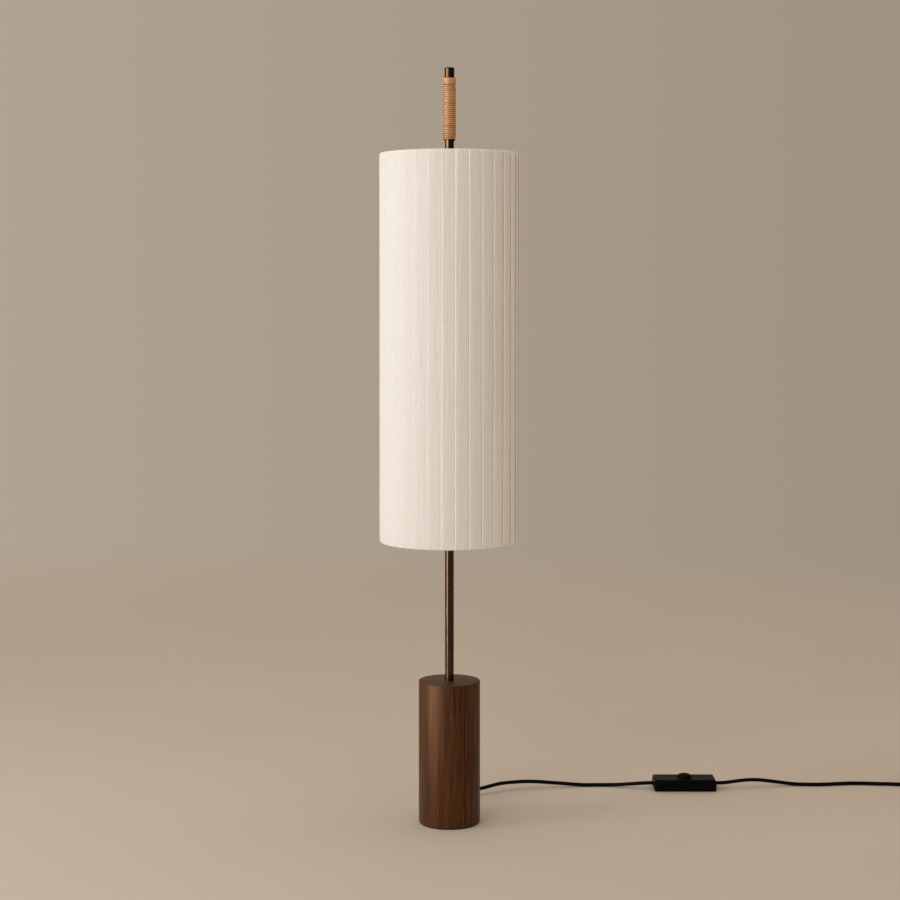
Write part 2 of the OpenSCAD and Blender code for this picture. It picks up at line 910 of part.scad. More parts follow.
module upper_holder() { color(blacked) upper_seat() holder_shell(); }
module lower_holder() { color(blacked) lower_seat() holder_shell(); }
module upper_socket() { color(plated) upper_seat() socket_shell(); }
module lower_socket() { color(plated) lower_seat() socket_shell(); }
module upper_bulb_cap() { color(plated) upper_seat() screw_cap(); }
module lower_bulb_cap() { color(plated) lower_seat() screw_cap(); }
module upper_bulb() { color(opal) upper_seat() bulb_globe(); }
module lower_bulb() { color(opal) lower_seat() bulb_globe(); }

// Shade carrier

grub_z = seat_z - seat_t - collar_h / 2;

module shade_carrier() {
    color(bronze)
        difference() {
            union() {
                translate([0, 0, seat_z - seat_t - collar_h])
                    cylinder(d = neck_d, h = neck_top - seat_z + seat_t + collar_h);
                translate([0, 0, seat_z - seat_t])
                    cylinder(d = seat_d, h = seat_t);
            }
            translate([0, 0, seat_z - seat_t - collar_h - over])
                cylinder(d = stem_d + 2 * fit, h = neck_top - seat_z + seat_t + collar_h + 2 * over);
            translate([0, 0, grub_z])
                rod_y(grub_d + 2 * fit, -neck_d, neck_d);
        }
}

module carrier_screw() {
    color(plated)
        grub_screw(grub_z, neck_d / 2);
}

module shade_lock_ring() {
    grips = 12;
    color(bronze)
        difference() {
            ring_between(lock_d, neck_d + 2 * fit, lock_z, lock_t);
            for (k = [0:grips - 1])
                rotate(360 * k / grips)
                    translate([lock_d / 2 + 0.6, 0, lock_z - over])
                        cylinder(d = 3, h = lock_t + 2 * over);
        }
}

// Shade

module shade_cover() {
    color(linen)
        translate([0, 0, shade_z])
            difference() {
                linear_extrude(shade_h)
                    polygon(pleat_outline());
                translate([0, 0, -over])
                    cylinder(r = cover_r, h = shade_h + 2 * over, $fn = 96);
            }
}

module shade_lining() {
    color(linen)
        ring_between(2 * lining_r, 2 * (lining_r - lining_t), shade_z + 1, shade_h - 2);
}

module shade_top_ring() {
    color(plated)
        wire_ring(top_ring_z);
}

module shade_bottom_ring() {
    color(plated)
        wire_ring(bottom_ring_z);
}

module rib_rods() {
    for (k = [0:ribs - 1])
        rotate(rib_turn + 360 * k / ribs)
            translate([ring_r, 0, bottom_ring_z])
                cylinder(d = rib_wire, h = top_ring_z - bottom_ring_z);
}

module shade_ribs() {
    color(plated)
        difference() {
            rib_rods();
            wire_ring(top_ring_z);
            wire_ring(bottom_ring_z);
        }
}

module spider_arms() {
    hub_mid = hub_z + hub_t / 2;
    start_r = hub_d / 2 - 1;
    reach = ring_r - start_r;
    climb = top_ring_z - hub_mid;
    color(plated)
        difference() {
            for (k = [0:spider_arms_n - 1])
                rotate(spider_turn + 360 * k / spider_arms_n)
                    translate([start_r, 0, hub_mid])
                        rotate([0, atan2(reach, climb), 0])
                            cylinder(d = arm_wire, h = norm([reach, climb]), $fn = 32);
            wire_ring(top_ring_z);
            rib_rods();
            translate([0, 0, hub_z - 5])
                cylinder(d = hub_d, h = 12);
        }
}

module spider_hub() {
    color(plated)
        ring_between(hub_d, neck_d + 2 * turn_fit, hub_z, hub_t);
}

// Floor switch

module on_switch() {
    translate([switch_at.x, switch_at.y, 0])
        children();
}

// The case as one block, inset by t all round
module case_block(t) {
    intersection() {
        linear_extrude(2 * switch_h)
            polygon(round_rect(switch_l - 2 * t, switch_w - 2 * t, case_corner - t));
        translate([-switch_l / 2, 0, 0])
            rotate([90, 0, 90])
                linear_extrude(switch_l)
                    polygon(case_profile(switch_w, t));
        translate([0, switch_w / 2, 0])
            rotate([90, 0, 0])
                linear_extrude(switch_w)
                    polygon(case_profile(switch_l, t));
    }
}

module above(z) {
    translate([-switch_l, -switch_w, z])
        cube([2 * switch_l, 2 * switch_w, 2 * switch_h]);
}

module at_posts() {
    for (x = [-post_x, post_x])
        for (y = [-post_y, post_y])
            translate([x, y, 0])
                children();
}

module at_clamp_screws() {
    for (x = [-clamp_x, clamp_x])
        for (y = [-clamp_y, clamp_y])
            translate([x, y, 0])
                children();
}

module lead_entries() {
    translate([0, 0, lead_z])
        rod_x(lead_d + 2 * fit, -switch_l, switch_l);
}

module switch_base() {
    saddle_h = lead_z - lead_d / 2 - case_wall + 2;
    color(blacked)
        on_switch()
            difference() {
                union() {
                    difference() {
                        case_block(0);
                        case_block(case_wall);
                        above(split_z);
                    }
                    intersection() {
                        union() {
                            at_posts()
                                cylinder(d = post_d, h = split_z);
                            at_clamp_screws()
                                cylinder(d = 5, h = lead_z + lead_d / 2 - 0.4);
                            for (side = [-1, 1])
                                translate([side * clamp_x, 0, case_wall + saddle_h / 2])
                                    cube([clamp_l, 2 * clamp_y, saddle_h], center = true);
                        }
                        case_block(0.5);
                    }
                }
                lead_entries();
                at_posts() {
                    translate([0, 0, -over])
                        cylinder(d = case_screw_d + 2 * fit, h = switch_h);
                    translate([0, 0, -over])
                        cylinder(d = 2 * case_screw_d + 2 * fit, h = over + 3);
                }
                at_clamp_screws()
                    translate([0, 0, case_wall + 1.5])
                        cylinder(d = 2.4, h = switch_h);
            }
}

module switch_cover() {
    color(blacked)
        on_switch()
            difference() {
                union() {
                    difference() {
                        intersection() {
                            case_block(0);
                            above(split_z);
                        }
                        difference() {
                            case_block(case_wall);
                            above(roof_z);
                        }
                    }
                    intersection() {
                        at_posts()
                            translate([0, 0, split_z])
                                cylinder(d = post_d, h = switch_h);
                        case_block(0.5);
                    }
                }
                lead_entries();
                at_posts()
                    translate([0, 0, split_z - over])
                        cylinder(d = case_screw_d + 2 * fit, h = over + 6);
                cylinder(d = button_hole_d, h = 2 * switch_h);
                translate([0, 0, switch_h - 0.9])
                    cylinder(d = button_d + 2 * button_groove, h = switch_h);
            }
}

module switch_button() {
    r = button_d / 2;
    dome_z = switch_h + button_rise - button_dome;
    skirt_z = block_top + button_travel + run;
    flange_top = roof_z - run;
    deck = button_deck_z;
    color(blacked)
        on_switch()
            rotate_extrude()
                polygon(concat(
                    [[0, skirt_z], [plunger_d / 2, skirt_z], [plunger_d / 2, deck], [r - button_wall, deck],
                        [r - button_wall, skirt_z], [r, skirt_z], [r, flange_top - button_flange_t],
                        [button_flange_d / 2, flange_top - button_flange_t],
                        [button_flange_d / 2, flange_top], [r, flange_top]],
                    [for (a = [0:9:90]) [r * cos(a), dome_z + button_dome * sin(a)]]
                ));
}

spring_low = block_top + spring_wire / 2;
spring_high = button_deck_z - spring_wire / 2;

module button_spring() {
    pitch = (spring_high - spring_low) / spring_turns;
    path = helix(spring_d / 2, spring_low, pitch, spring_turns, spring_rings, spring_wire);
    color(plated)
        on_switch()
            swept_tube(path, spring_wire / 2, spring_sides);
}

module switch_contacts() {
    color(linen)
        on_switch()
            union() {
                translate([-block_l / 2, -block_w / 2, case_wall])
                    cube([block_l, block_w, 3]);
                translate([-14, -block_w / 2, case_wall])
                    cube([28, block_w, block_top - case_wall]);
                for (side = [-1, 1])
                    translate([side * (block_l - tower_l) / 2, 0, (case_wall + tower_top) / 2])
                        cube([tower_l, tower_w, tower_top - case_wall], center = true);
            }
}

module switch_clamps() {
    z = lead_z + lead_d / 2;
    color(plated)
        on_switch()
            difference() {
                for (side = [-1, 1])
                    translate([side * clamp_x, 0, z + clamp_t / 2])
                        cube([clamp_l, 2 * clamp_y + 5, clamp_t], center = true);
                at_clamp_screws()
                    cylinder(d = 2.4, h = switch_h);
            }
}

module clamp_screws() {
    z = lead_z + lead_d / 2 + clamp_t;
    color(plated)
        on_switch()
            at_clamp_screws() {
                translate([0, 0, z])
                    cylinder(d = 4, h = 1.2);
                translate([0, 0, case_wall + 2])
                    cylinder(d = 2.2, h = z - case_wall - 2);
            }
}

module switch_screws() {
    head = 2 * case_screw_d;
    color(plated)
        on_switch()
            at_posts()
                difference() {
                    union() {
                        translate([0, 0, 0.8])
                            cylinder(d = head, h = 2.1);
                        translate([0, 0, 2])
                            cylinder(d = case_screw_d, h = split_z + 3);
                    }
                    for (turn = [0, 90])
                        rotate(turn)
                            translate([0, 0, 1])
                                cube([case_screw_d, 0.8, 1.6], center = true);
                }
}

module switch_leads() {
    tower_x = block_l / 2;
    color(blacked)
        on_switch()
            translate([0, 0, lead_z])
                for (side = [-1, 1]) {
                    rod_x(lead_d, side * switch_l / 2, side * sheath_end);
                    for (y = [-core_y, core_y])
                        translate([0, y, 0])
                            rod_x(core_d, side * sheath_end, side * tower_x);
                }
}

// Lead on the floor

module cord_base_to_switch() {
    color(blacked)
        swept_tube(route_to_switch, lead_d / 2, cord_sides);
}

module cord_switch_to_coil() {
    color(blacked)
        swept_tube(route_to_coil, lead_d / 2, cord_sides);
}

module cord_coil() {
    path = coil_path();
    echo(coil_gap = own_gap(path, loop_rings / 2, len(path)) - lead_d);
    color(blacked)
        swept_tube(path, lead_d / 2, loop_sides);
}

// Plug

plug_body_y = plug_at.y + tail_l;

function plug_outline() =
    let (half = plug_w / 2, neck = 6, grip_in = 2.2)
    concat(
        [[neck, 0], [neck + 3, 2], [half - 4, 9], [half - 1, 13]],
        [for (i = [0:6]) [half - 1 - grip_in * sin(180 * i / 6), 14 + i * (plug_l - 21) / 6]],
        [[half, plug_l - 5], [half, plug_l - 0.8], [half - 0.8, plug_l]]
    );
function plug_side() = [
    [5.4, -0.01], [6, 4], [plug_t / 2, 11], [plug_t / 2, plug_l - 0.8], [plug_t / 2 - 0.8, plug_l]
];
function both_sides(half) = concat(half, [for (i = [len(half) - 1:-1:0]) [-half[i].x, half[i].y]]);

module plug_body() {
    color(blacked)
        union() {
            translate([plug_at.x, plug_body_y, plug_at.z])
                intersection() {
                    translate([0, 0, -plug_t])
                        linear_extrude(2 * plug_t)
                            polygon(both_sides(plug_outline()));
                    translate([-plug_w, 0, 0])
                        rotate([90, 0, 90])
                            mirror([1, -1, 0])
                                linear_extrude(2 * plug_w)
                                    polygon(both_sides(plug_side()));
                }
            translate([plug_at.x, plug_at.y, plug_at.z])
                difference() {
                    rotate([-90, 0, 0])
                        cylinder(d1 = lead_d + 1.6, d2 = 10.8, h = tail_l);
                    for (k = [0:3])
                        translate([0, 4 + 5.6 * k, 0])
                            rotate([-90, 0, 0])
                                difference() {
                                    cylinder(d = 14, h = 1.6);
                                    translate([0, 0, -over])
                                        cylinder(d = lead_d + 0.8, h = 1.6 + 2 * over);
                                }
                }
        }
}

module plug_pins() {
    color(plated)
        for (x = [-pin_gap / 2, pin_gap / 2])
            translate([plug_at.x + x, plug_body_y + plug_l, plug_at.z])
                rotate([-90, 0, 0]) {
                    cylinder(d = pin_d, h = pin_l - 0.6);
                    translate([0, 0, pin_l - 0.6])
                        cylinder(d1 = pin_d, d2 = pin_d - 1.2, h = 0.6);
                }
}

felt_pad();
base_plate();
base_screws();
wood_base();
ballast();
stem_washer();
stem_nut();
stem_flange_nut();
cord_relief();
lead_tail();
anchor_block();
anchor_bridge();
anchor_screws();
terminal_block();
lamp_wires();
stem_tube();
end_cap();
grip_wrap();
grip_band();
lamp_cluster();
cluster_screw();
upper_holder();
lower_holder();
upper_socket();
lower_socket();
upper_bulb_cap();
lower_bulb_cap();
upper_bulb();
lower_bulb();
shade_carrier();
carrier_screw();
shade_lock_ring();
shade_cover();
shade_lining();
shade_top_ring();
shade_bottom_ring();
shade_ribs();
spider_arms();
spider_hub();
switch_base();
switch_cover();
switch_button();
button_spring();
switch_contacts();
switch_clamps();
clamp_screws();
switch_screws();
switch_leads();
cord_base_to_switch();
cord_switch_to_coil();
cord_coil();
plug_body();
plug_pins();
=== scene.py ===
"""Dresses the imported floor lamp: stage, lead, pleated shade, wound grip, wood base and floor switch."""
import json
import math

import bmesh
import bpy
from bpy.props import FloatProperty, FloatVectorProperty, IntProperty, PointerProperty
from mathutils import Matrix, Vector, noise

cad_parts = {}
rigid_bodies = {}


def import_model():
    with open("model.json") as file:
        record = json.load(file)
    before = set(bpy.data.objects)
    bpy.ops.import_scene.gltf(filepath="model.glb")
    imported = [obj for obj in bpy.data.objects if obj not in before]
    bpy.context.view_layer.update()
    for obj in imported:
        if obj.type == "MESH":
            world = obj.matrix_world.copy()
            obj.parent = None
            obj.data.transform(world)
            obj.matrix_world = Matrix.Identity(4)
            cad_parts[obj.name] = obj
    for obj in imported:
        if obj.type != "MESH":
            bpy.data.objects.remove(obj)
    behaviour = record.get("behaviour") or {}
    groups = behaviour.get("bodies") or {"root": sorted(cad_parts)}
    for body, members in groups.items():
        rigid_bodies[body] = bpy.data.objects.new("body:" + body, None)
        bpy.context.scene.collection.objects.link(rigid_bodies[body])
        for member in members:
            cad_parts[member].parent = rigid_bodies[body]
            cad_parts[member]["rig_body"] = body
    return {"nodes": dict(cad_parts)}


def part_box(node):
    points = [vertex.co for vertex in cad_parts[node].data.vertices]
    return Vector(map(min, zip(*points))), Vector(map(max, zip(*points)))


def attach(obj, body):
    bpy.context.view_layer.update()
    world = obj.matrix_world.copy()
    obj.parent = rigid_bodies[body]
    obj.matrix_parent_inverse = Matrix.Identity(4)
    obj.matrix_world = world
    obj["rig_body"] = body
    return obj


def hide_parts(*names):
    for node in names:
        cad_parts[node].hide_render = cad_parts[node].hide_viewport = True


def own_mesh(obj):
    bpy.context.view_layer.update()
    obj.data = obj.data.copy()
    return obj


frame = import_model()

bl_info = {
    "name": "Pleated floor lamp",
    "version": (1, 0, 0),
    "blender": (4, 5, 0),
    "location": "3D View > Sidebar > Floor lamp",
    "description": "Dresses a floor lamp with a pleated shade, a wound grip and a wood base",
    "category": "Object",
}

LAMP_BODY = "lamp"
SHADE_BODY = "shade"

# The lead's route on the floor, in metres, as the part's source has it
LAY_TO_SWITCH = (
    (0.0006, 0.1001, 0.0178), (0.0035, 0.1154, 0.0168), (0.009, 0.1302, 0.0152), (0.017, 0.1447, 0.0136),
    (0.028, 0.1583, 0.0124), (0.0405, 0.1699, 0.0118), (0.053, 0.1788, 0.0117), (0.065, 0.187, 0.012),
    (0.08, 0.197, 0.0134), (0.095, 0.207, 0.0144), (0.11, 0.2155, 0.0142), (0.126, 0.2215, 0.014),
    (0.141, 0.2255, 0.0139), (0.156, 0.2285, 0.0132), (0.171, 0.2313, 0.012), (0.187, 0.234, 0.0102),
    (0.202, 0.2362, 0.0086), (0.217, 0.2376, 0.0072), (0.233, 0.2386, 0.0056), (0.25, 0.2396, 0.0042),
    (0.267, 0.2406, 0.0035), (0.284, 0.2412, 0.0035), (0.3018, 0.2404, 0.0037), (0.32, 0.2378, 0.0047),
    (0.3383, 0.2338, 0.0066), (0.3543, 0.2302, 0.0086), (0.3672, 0.228, 0.01), (0.379, 0.2271, 0.0109),
)
LAY_TO_COIL = (
    (0.521, 0.2271, 0.0111), (0.5349, 0.228, 0.012), (0.5489, 0.2305, 0.0133), (0.5638, 0.2338, 0.0142),
    (0.5796, 0.237, 0.0144), (0.5944, 0.2398, 0.0134), (0.61, 0.242, 0.0114), (0.626, 0.244, 0.009),
    (0.642, 0.2454, 0.0066), (0.657, 0.246, 0.0046), (0.671, 0.246, 0.0035), (0.686, 0.2448, 0.0035),
    (0.701, 0.244, 0.0035), (0.717, 0.2444, 0.0035), (0.733, 0.2466, 0.0035), (0.749, 0.2496, 0.0035),
    (0.766, 0.252, 0.0035), (0.782, 0.253, 0.0035), (0.799, 0.2524, 0.0035), (0.816, 0.2506, 0.0035),
    (0.833, 0.2488, 0.0035), (0.85, 0.2474, 0.0035), (0.867, 0.2445, 0.0035), (0.885, 0.2418, 0.0035),
    (0.903, 0.2396, 0.0035), (0.921, 0.2374, 0.0035), (0.931, 0.236, 0.0035),
)
# Heights at which the lead leaves the base and passes through the switch, and how far it runs straight there
BASE_EXIT, SWITCH_PASS, STRAIGHT = 0.018, 0.011, 0.004

# The coil's middle and its turns. It winds inwards for COIL_IN of them, and then outwards a layer higher
COIL_AXIS = (0.945, 0.282)
COIL_TURNS, COIL_IN, COIL_STEPS = 5.25, 2.25, 24
# Turns at which it starts to climb and to drop, and over how many it climbs
CLIMB_FROM, CLIMB_OVER, DROP_FROM = 2, 0.5, 5
COIL_LOW, COIL_HIGH, PLUG_HEIGHT = 0.0035, 0.0111, 0.007
PLUG_ENTRY = (0.9967, 0.292, 0.007)

# How the backdrop's light falls off between directions SIDE to the left and to the right of the view's middle
SIDE, WALL_FALL = 0.23, (1.06, 0.84)


def lowest(node):
    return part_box(node)[0]


def highest(node):
    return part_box(node)[1]


def within(share):
    """Holds a share between nothing and all of it."""
    return max(0.0, min(1.0, share))


# Sizes and colours


class LampView(bpy.types.PropertyGroup):
    """Camera, light and backdrop"""

    distance: FloatProperty(name="Distance", description="Distance from the lamp's axis to the camera",
                            default=3.409, min=1, unit="LENGTH")
    height: FloatProperty(name="Height", description="Height of the camera above the floor",
                          default=0.961, min=0.1, unit="LENGTH")
    pitch: FloatProperty(name="Pitch", description="How far the camera looks down",
                         default=math.radians(1.92), unit="ROTATION")
    lens: FloatProperty(name="Lens", description="Focal length in millimetres", default=76.5, min=20)
    shift: FloatProperty(name="Shift", description="Upright shift of the picture", default=-0.11)
    key_power: FloatProperty(name="Key light", description="Power of the soft light at the left",
                             default=42.0, min=0, unit="POWER")
    panel_power: FloatProperty(name="Side panel", description="Power of the tall light beside the lamp",
                               default=17.0, min=0, unit="POWER")
    card_power: FloatProperty(name="Card", description="Power of the card at the left, only seen mirrored",
                              default=50.0, min=0, unit="POWER")
    fill_left: FloatProperty(name="Fill from the left", description="Surrounding light at the left",
                             default=0.75, min=0)
    fill_right: FloatProperty(name="Fill from the right", description="Surrounding light at the right",
                              default=0.57, min=0)
    fill_back: FloatProperty(name="Fill from behind", description="What this light gains towards the back",
                             default=0.18, min=0)
    fill_top: FloatProperty(name="Fill from above", description="What this light gains towards the top",
                            default=0.10, min=0)
    backdrop: FloatVectorProperty(name="Backdrop", description="Colour of the backdrop", subtype="COLOR",
                                  size=3, default=(0.415, 0.343, 0.270), min=0, max=1)
    floor: FloatVectorProperty(name="Floor", description="Colour of the floor", subtype="COLOR",
                               size=3, default=(0.54, 0.468, 0.392), min=0, max=1)


class LampShade(bpy.types.PropertyGroup):
    """Pleats, rims and cloth of the shade"""

    pleats: IntProperty(name="Pleats", description="Number of pleats", default=32, min=8)
    outer_radius: FloatProperty(name="Radius", description="Radius over the pleats' folds",
                                default=0.125, min=0.05, unit="LENGTH")
    fold_height: FloatProperty(name="Fold height", description="How far a fold stands over the next pleat",
                               default=0.0027, min=0.0005, unit="LENGTH")
    first_fold: FloatProperty(name="First fold", description="Angle of one fold", default=math.radians(4.7),
                              unit="ROTATION")
    rim_roll: FloatProperty(name="Rim roll", description="Radius of the rolled rims", default=0.0017,
                            min=0.0005, unit="LENGTH")
    pucker: FloatProperty(name="Pucker", description="Depth of the puckers near the rims", default=0.0006,
                          min=0, unit="LENGTH")
    cloth: FloatVectorProperty(name="Cloth", description="Colour of the pleated cloth", subtype="COLOR",
                               size=3, default=(0.865, 0.835, 0.79), min=0, max=1)
    # Painted shade: the warm, dark colour that the cloth takes deep in the folds
    crease_shade: FloatVectorProperty(name="Crease", description="Colour deep in the folds", subtype="COLOR",
                                size=3, default=(0.80, 0.60, 0.36), min=0, max=1)


class LampGrip(bpy.types.PropertyGroup):
    """The strand and its winding"""

    turns: FloatProperty(name="Turns", description="Number of turns in the winding", default=28, min=4)
    strand_height: FloatProperty(name="Strand height", description="Height of the flattened strand",
                                 default=0.0036, min=0.001, unit="LENGTH")
    strand_depth: FloatProperty(name="Strand depth", description="Thickness of the strand off the stem",
                                default=0.0034, min=0.001, unit="LENGTH")
    cane: FloatVectorProperty(name="Cane", description="Colour of the strand", subtype="COLOR",
                              size=3, default=(0.64, 0.30, 0.115), min=0, max=1)


class LampWood(bpy.types.PropertyGroup):
    """Edges and colours of the wood base"""

    arris: FloatProperty(name="Arris", description="Radius of the softened edges", default=0.0012,
                         min=0.0002, unit="LENGTH")
    light_wood: FloatVectorProperty(name="Light wood", description="Colour of the light grain",
                                    subtype="COLOR", size=3, default=(0.120, 0.040, 0.0115), min=0, max=1)
    dark_wood: FloatVectorProperty(name="Dark wood", description="Colour of the dark grain",
                                   subtype="COLOR", size=3, default=(0.026, 0.0075, 0.002), min=0, max=1)


class LampLead(bpy.types.PropertyGroup):
    """Thickness of the mains lead and its coil"""

    diameter: FloatProperty(name="Diameter", description="Diameter of the mains lead", default=0.007,
                            min=0.003, unit="LENGTH")
    coil_radius: FloatProperty(name="Coil radius", description="Radius of the coil's first turn",
                               default=0.046, min=0.02, unit="LENGTH")
    coil_pitch: FloatProperty(name="Coil pitch", description="Distance between neighbouring turns",
                              default=0.0076, min=0.004, unit="LENGTH")


# Materials


class Finish:
    """A material in the making, with its uniform values on the shader's own sockets."""

    def __init__(self, name, **sockets):
        self.material = bpy.data.materials.new(name)
        self.material.use_nodes = True
        self.nodes = self.material.node_tree.nodes
        self.links = self.material.node_tree.links
        self.shader = self.nodes["Principled BSDF"]
        for label, value in sockets.items():
            self.put(self.shader.inputs[label.replace("_", " ").title().replace("Ior", "IOR")], value)

    def put(self, socket, value):
        if isinstance(value, bpy.types.NodeSocket):
            self.links.new(value, socket)
        elif getattr(socket, "type", "") == "RGBA" and len(value) == 3:
            socket.default_value = (*value, 1)
        else:
            socket.default_value = value

    def add(self, kind, inputs=None, **settings):
        node = self.nodes.new("ShaderNode" + kind)
        for label, value in settings.items():
            setattr(node, label, value)
        for label, value in (inputs or {}).items():
            self.put(node.inputs[label], value)
        return node

    def place(self, scale=(1, 1, 1), source="Object"):
        """Coordinates on the piece, stretched by scale."""
        start = self.add("TexCoord").outputs[source]
        return self.add("Mapping", {"Vector": start, "Scale": scale}).outputs["Vector"]

    def speckle(self, vector, scale, detail=4.0, roughness=0.55, distortion=0.0):
        inputs = {"Vector": vector, "Scale": scale, "Detail": detail, "Roughness": roughness,
                  "Distortion": distortion}
        return self.add("TexNoise", inputs).outputs["Fac"]

    def part(self, value, low, high, to_low=0.0, to_high=1.0):
        """Maps low..high of a value onto to_low..to_high, and holds it there beyond."""
        inputs = {"Value": value, "From Min": low, "From Max": high, "To Min": to_low, "To Max": to_high}
        return self.add("MapRange", inputs).outputs["Result"]

    def sum(self, operation, a, b):
        return self.add("Math", {0: a, 1: b}, operation=operation).outputs[0]

    def mixed(self, share, a, b, how="MIX"):
        node = self.add("Mix", data_type="RGBA", blend_type=how)
        self.put(node.inputs[0], share)
        self.put(node.inputs[6], a)
        self.put(node.inputs[7], b)
        return node.outputs[2]

    def colour(self, value):
        self.put(self.shader.inputs["Base Color"], value)

    def sheen_of(self, value):
        self.put(self.shader.inputs["Roughness"], value)

    def bump(self, height, distance, strength=1.0):
        inputs = {"Height": height, "Distance": distance, "Strength": strength}
        before = self.shader.inputs["Normal"]
        if before.links:
            inputs["Normal"] = before.links[0].from_socket
        self.put(before, self.add("Bump", inputs).outputs["Normal"])


def pleated_cloth(sizes):
    """Off-white slubbed cloth, with painted shade deep in the folds that makes the cloth warmer and darker
    there.
    """
    made = Finish("pleated_cloth", roughness=0.86, specular_ior_level=0.25, sheen_weight=0.12,
                  sheen_roughness=0.45)
    thread = made.place(source="UV")
    mottle = made.speckle(made.place((1, 1, 0.5), "UV"), 150, 3, 0.6)
    slub = made.speckle(made.place((1, 0.16, 1), "UV"), 520, 3, 0.65)
    warp, weft = (
        made.add("TexWave", {"Vector": thread, "Scale": scale, "Distortion": distortion, "Detail": 1.0,
                             "Detail Scale": 2.0}, wave_type="BANDS", bands_direction=axis).outputs["Fac"]
        for axis, scale, distortion in (("X", 210.0, 1.6), ("Y", 190.0, 1.8))
    )
    shade = made.mixed(made.part(mottle, 0.3, 0.7), [c * 0.93 for c in sizes.cloth], sizes.cloth)
    shade = made.mixed(made.part(slub, 0.35, 0.75, 0, 0.55), shade, [min(c * 1.05, 1) for c in sizes.cloth])
    ripple = made.speckle(made.place((1, 0.045, 1), "UV"), 190, 2, 0.5)
    # Painted shade: where the fold attribute is high, deep in the folds, the cloth takes the warm, dark
    # crease colour
    fold = made.add("Attribute", attribute_name="fold").outputs["Fac"]
    made.colour(made.mixed(fold, shade, sizes.crease_shade))
    made.bump(ripple, 0.0012, 0.8)
    made.bump(made.sum("ADD", mottle, slub), 0.0005, 0.5)
    made.bump(made.sum("MULTIPLY", warp, weft), 0.00012, 0.5)
    return made.material


def shade_lining():
    """Pale laminate behind the cloth, with a faint grain."""
    made = Finish("shade_lining", roughness=0.7, specular_ior_level=0.3)
    grain = made.speckle(made.place(), 260, 3)
    made.colour(made.mixed(made.part(grain, 0.3, 0.7), (0.80, 0.77, 0.71), (0.86, 0.83, 0.77)))
    made.bump(grain, 0.0002, 0.4)
    return made.material


def walnut(sizes):
    """Oiled dark wood with an upright grain, fine fibres and short dark pores."""
    made = Finish("walnut", specular_ior_level=0.42, specular_tint=(1, 0.62, 0.38))
    band = made.speckle(made.place((1, 1, 0.06)), 85, 3, 0.55, 0.5)
    streak = made.speckle(made.place((1, 1, 0.018)), 380, 3, 0.6, 0.15)
    fibre = made.speckle(made.place((1, 1, 0.02)), 800, 3, 0.6)
    pores = made.part(made.speckle(made.place((1, 1, 0.05)), 620, 2, 0.5), 0.60, 0.70)
    grain = made.sum("ADD", made.part(band, 0.3, 0.7, 0, 0.35), made.part(streak, 0.42, 0.58, 0, 0.65))
    wood = made.mixed(grain, sizes.dark_wood, sizes.light_wood)
    wood = made.mixed(made.part(fibre, 0.42, 0.58, 0, 0.8), wood, (0.5, 0.43, 0.36, 1), "MULTIPLY")
    made.colour(made.mixed(made.sum("MULTIPLY", pores, 0.75), wood, [c * 0.25 for c in sizes.dark_wood]))
    made.sheen_of(made.part(streak, 0.3, 0.7, 0.52, 0.40))
    made.bump(made.sum("SUBTRACT", made.sum("MULTIPLY", fibre, 0.35), pores), 0.00012, 0.6)
    return made.material


def dark_bronze():
    """Patinated bronze, drawn lengthwise, with a faint cloud in its sheen."""
    made = Finish("dark_bronze", metallic=1.0)
    drawn = made.speckle(made.place((1, 1, 0.012)), 1100, 3, 0.6)
    cloud = made.speckle(made.place((1, 1, 0.35)), 60, 3, 0.6)
    made.colour(made.mixed(made.part(cloud, 0.35, 0.65), (0.054, 0.031, 0.018), (0.080, 0.050, 0.031)))
    made.sheen_of(made.part(made.sum("ADD", drawn, cloud), 0.7, 1.3, 0.18, 0.29))
    made.bump(drawn, 0.00006, 0.35)
    return made.material


def cane(sizes):
    """Split cane: each turn has its own tone, with fine fibres along the strand, worn, paler patches and
    painted shade in the gaps between turns.
    """
    made = Finish("cane", specular_ior_level=0.8, specular_tint=(1, 0.86, 0.70))
    tone = made.add("Attribute", attribute_name="tone").outputs["Fac"]
    along = made.add("Attribute", attribute_name="along").outputs["Vector"]
    strand = made.add("Mapping", {"Vector": along, "Scale": (14, 2600, 2600)}).outputs["Vector"]
    fibre = made.speckle(strand, 1.0, 3)
    patch = made.speckle(made.place(), 260, 3, 0.6)
    dark = [c * k for c, k in zip(sizes.cane, (0.66, 0.56, 0.48))]
    pale = [min(c * k, 1) for c, k in zip(sizes.cane, (1.16, 1.25, 1.35))]
    skin = made.mixed(made.part(patch, 0.38, 0.66, 0, 0.75), sizes.cane, pale)
    skin = made.mixed(made.part(tone, 0.35, 0.95, 0, 0.6), skin, dark)
    # Painted shade: the gap attribute darkens the cane to a deep brown between the turns
    gap = made.add("Attribute", attribute_name="gap").outputs["Fac"]
    made.colour(made.mixed(gap, made.mixed(made.part(fibre, 0.35, 0.7, 0, 0.35), skin, dark),
                           [c * k for c, k in zip(sizes.cane, (0.22, 0.13, 0.10))]))
    made.sheen_of(made.part(patch, 0.35, 0.7, 0.42, 0.6))
    made.bump(fibre, 0.0001, 0.5)
    return made.material


def moulded(name, colour, roughness, grain=1400, depth=0.00004):
    """Moulded rubber or plastic with a fine spark-eroded grain."""
    made = Finish(name, specular_ior_level=0.09)
    skin = made.speckle(made.place(), grain, 2, 0.6)
    haze = made.speckle(made.place(), 70, 3, 0.55)
    made.colour(made.mixed(made.part(haze, 0.35, 0.65), [c * 0.85 for c in colour],
                           [min(c * 1.12, 1) for c in colour]))
    made.sheen_of(made.part(haze, 0.3, 0.7, roughness - 0.05, roughness + 0.06))
    made.bump(skin, depth, 0.6)
    return made.material


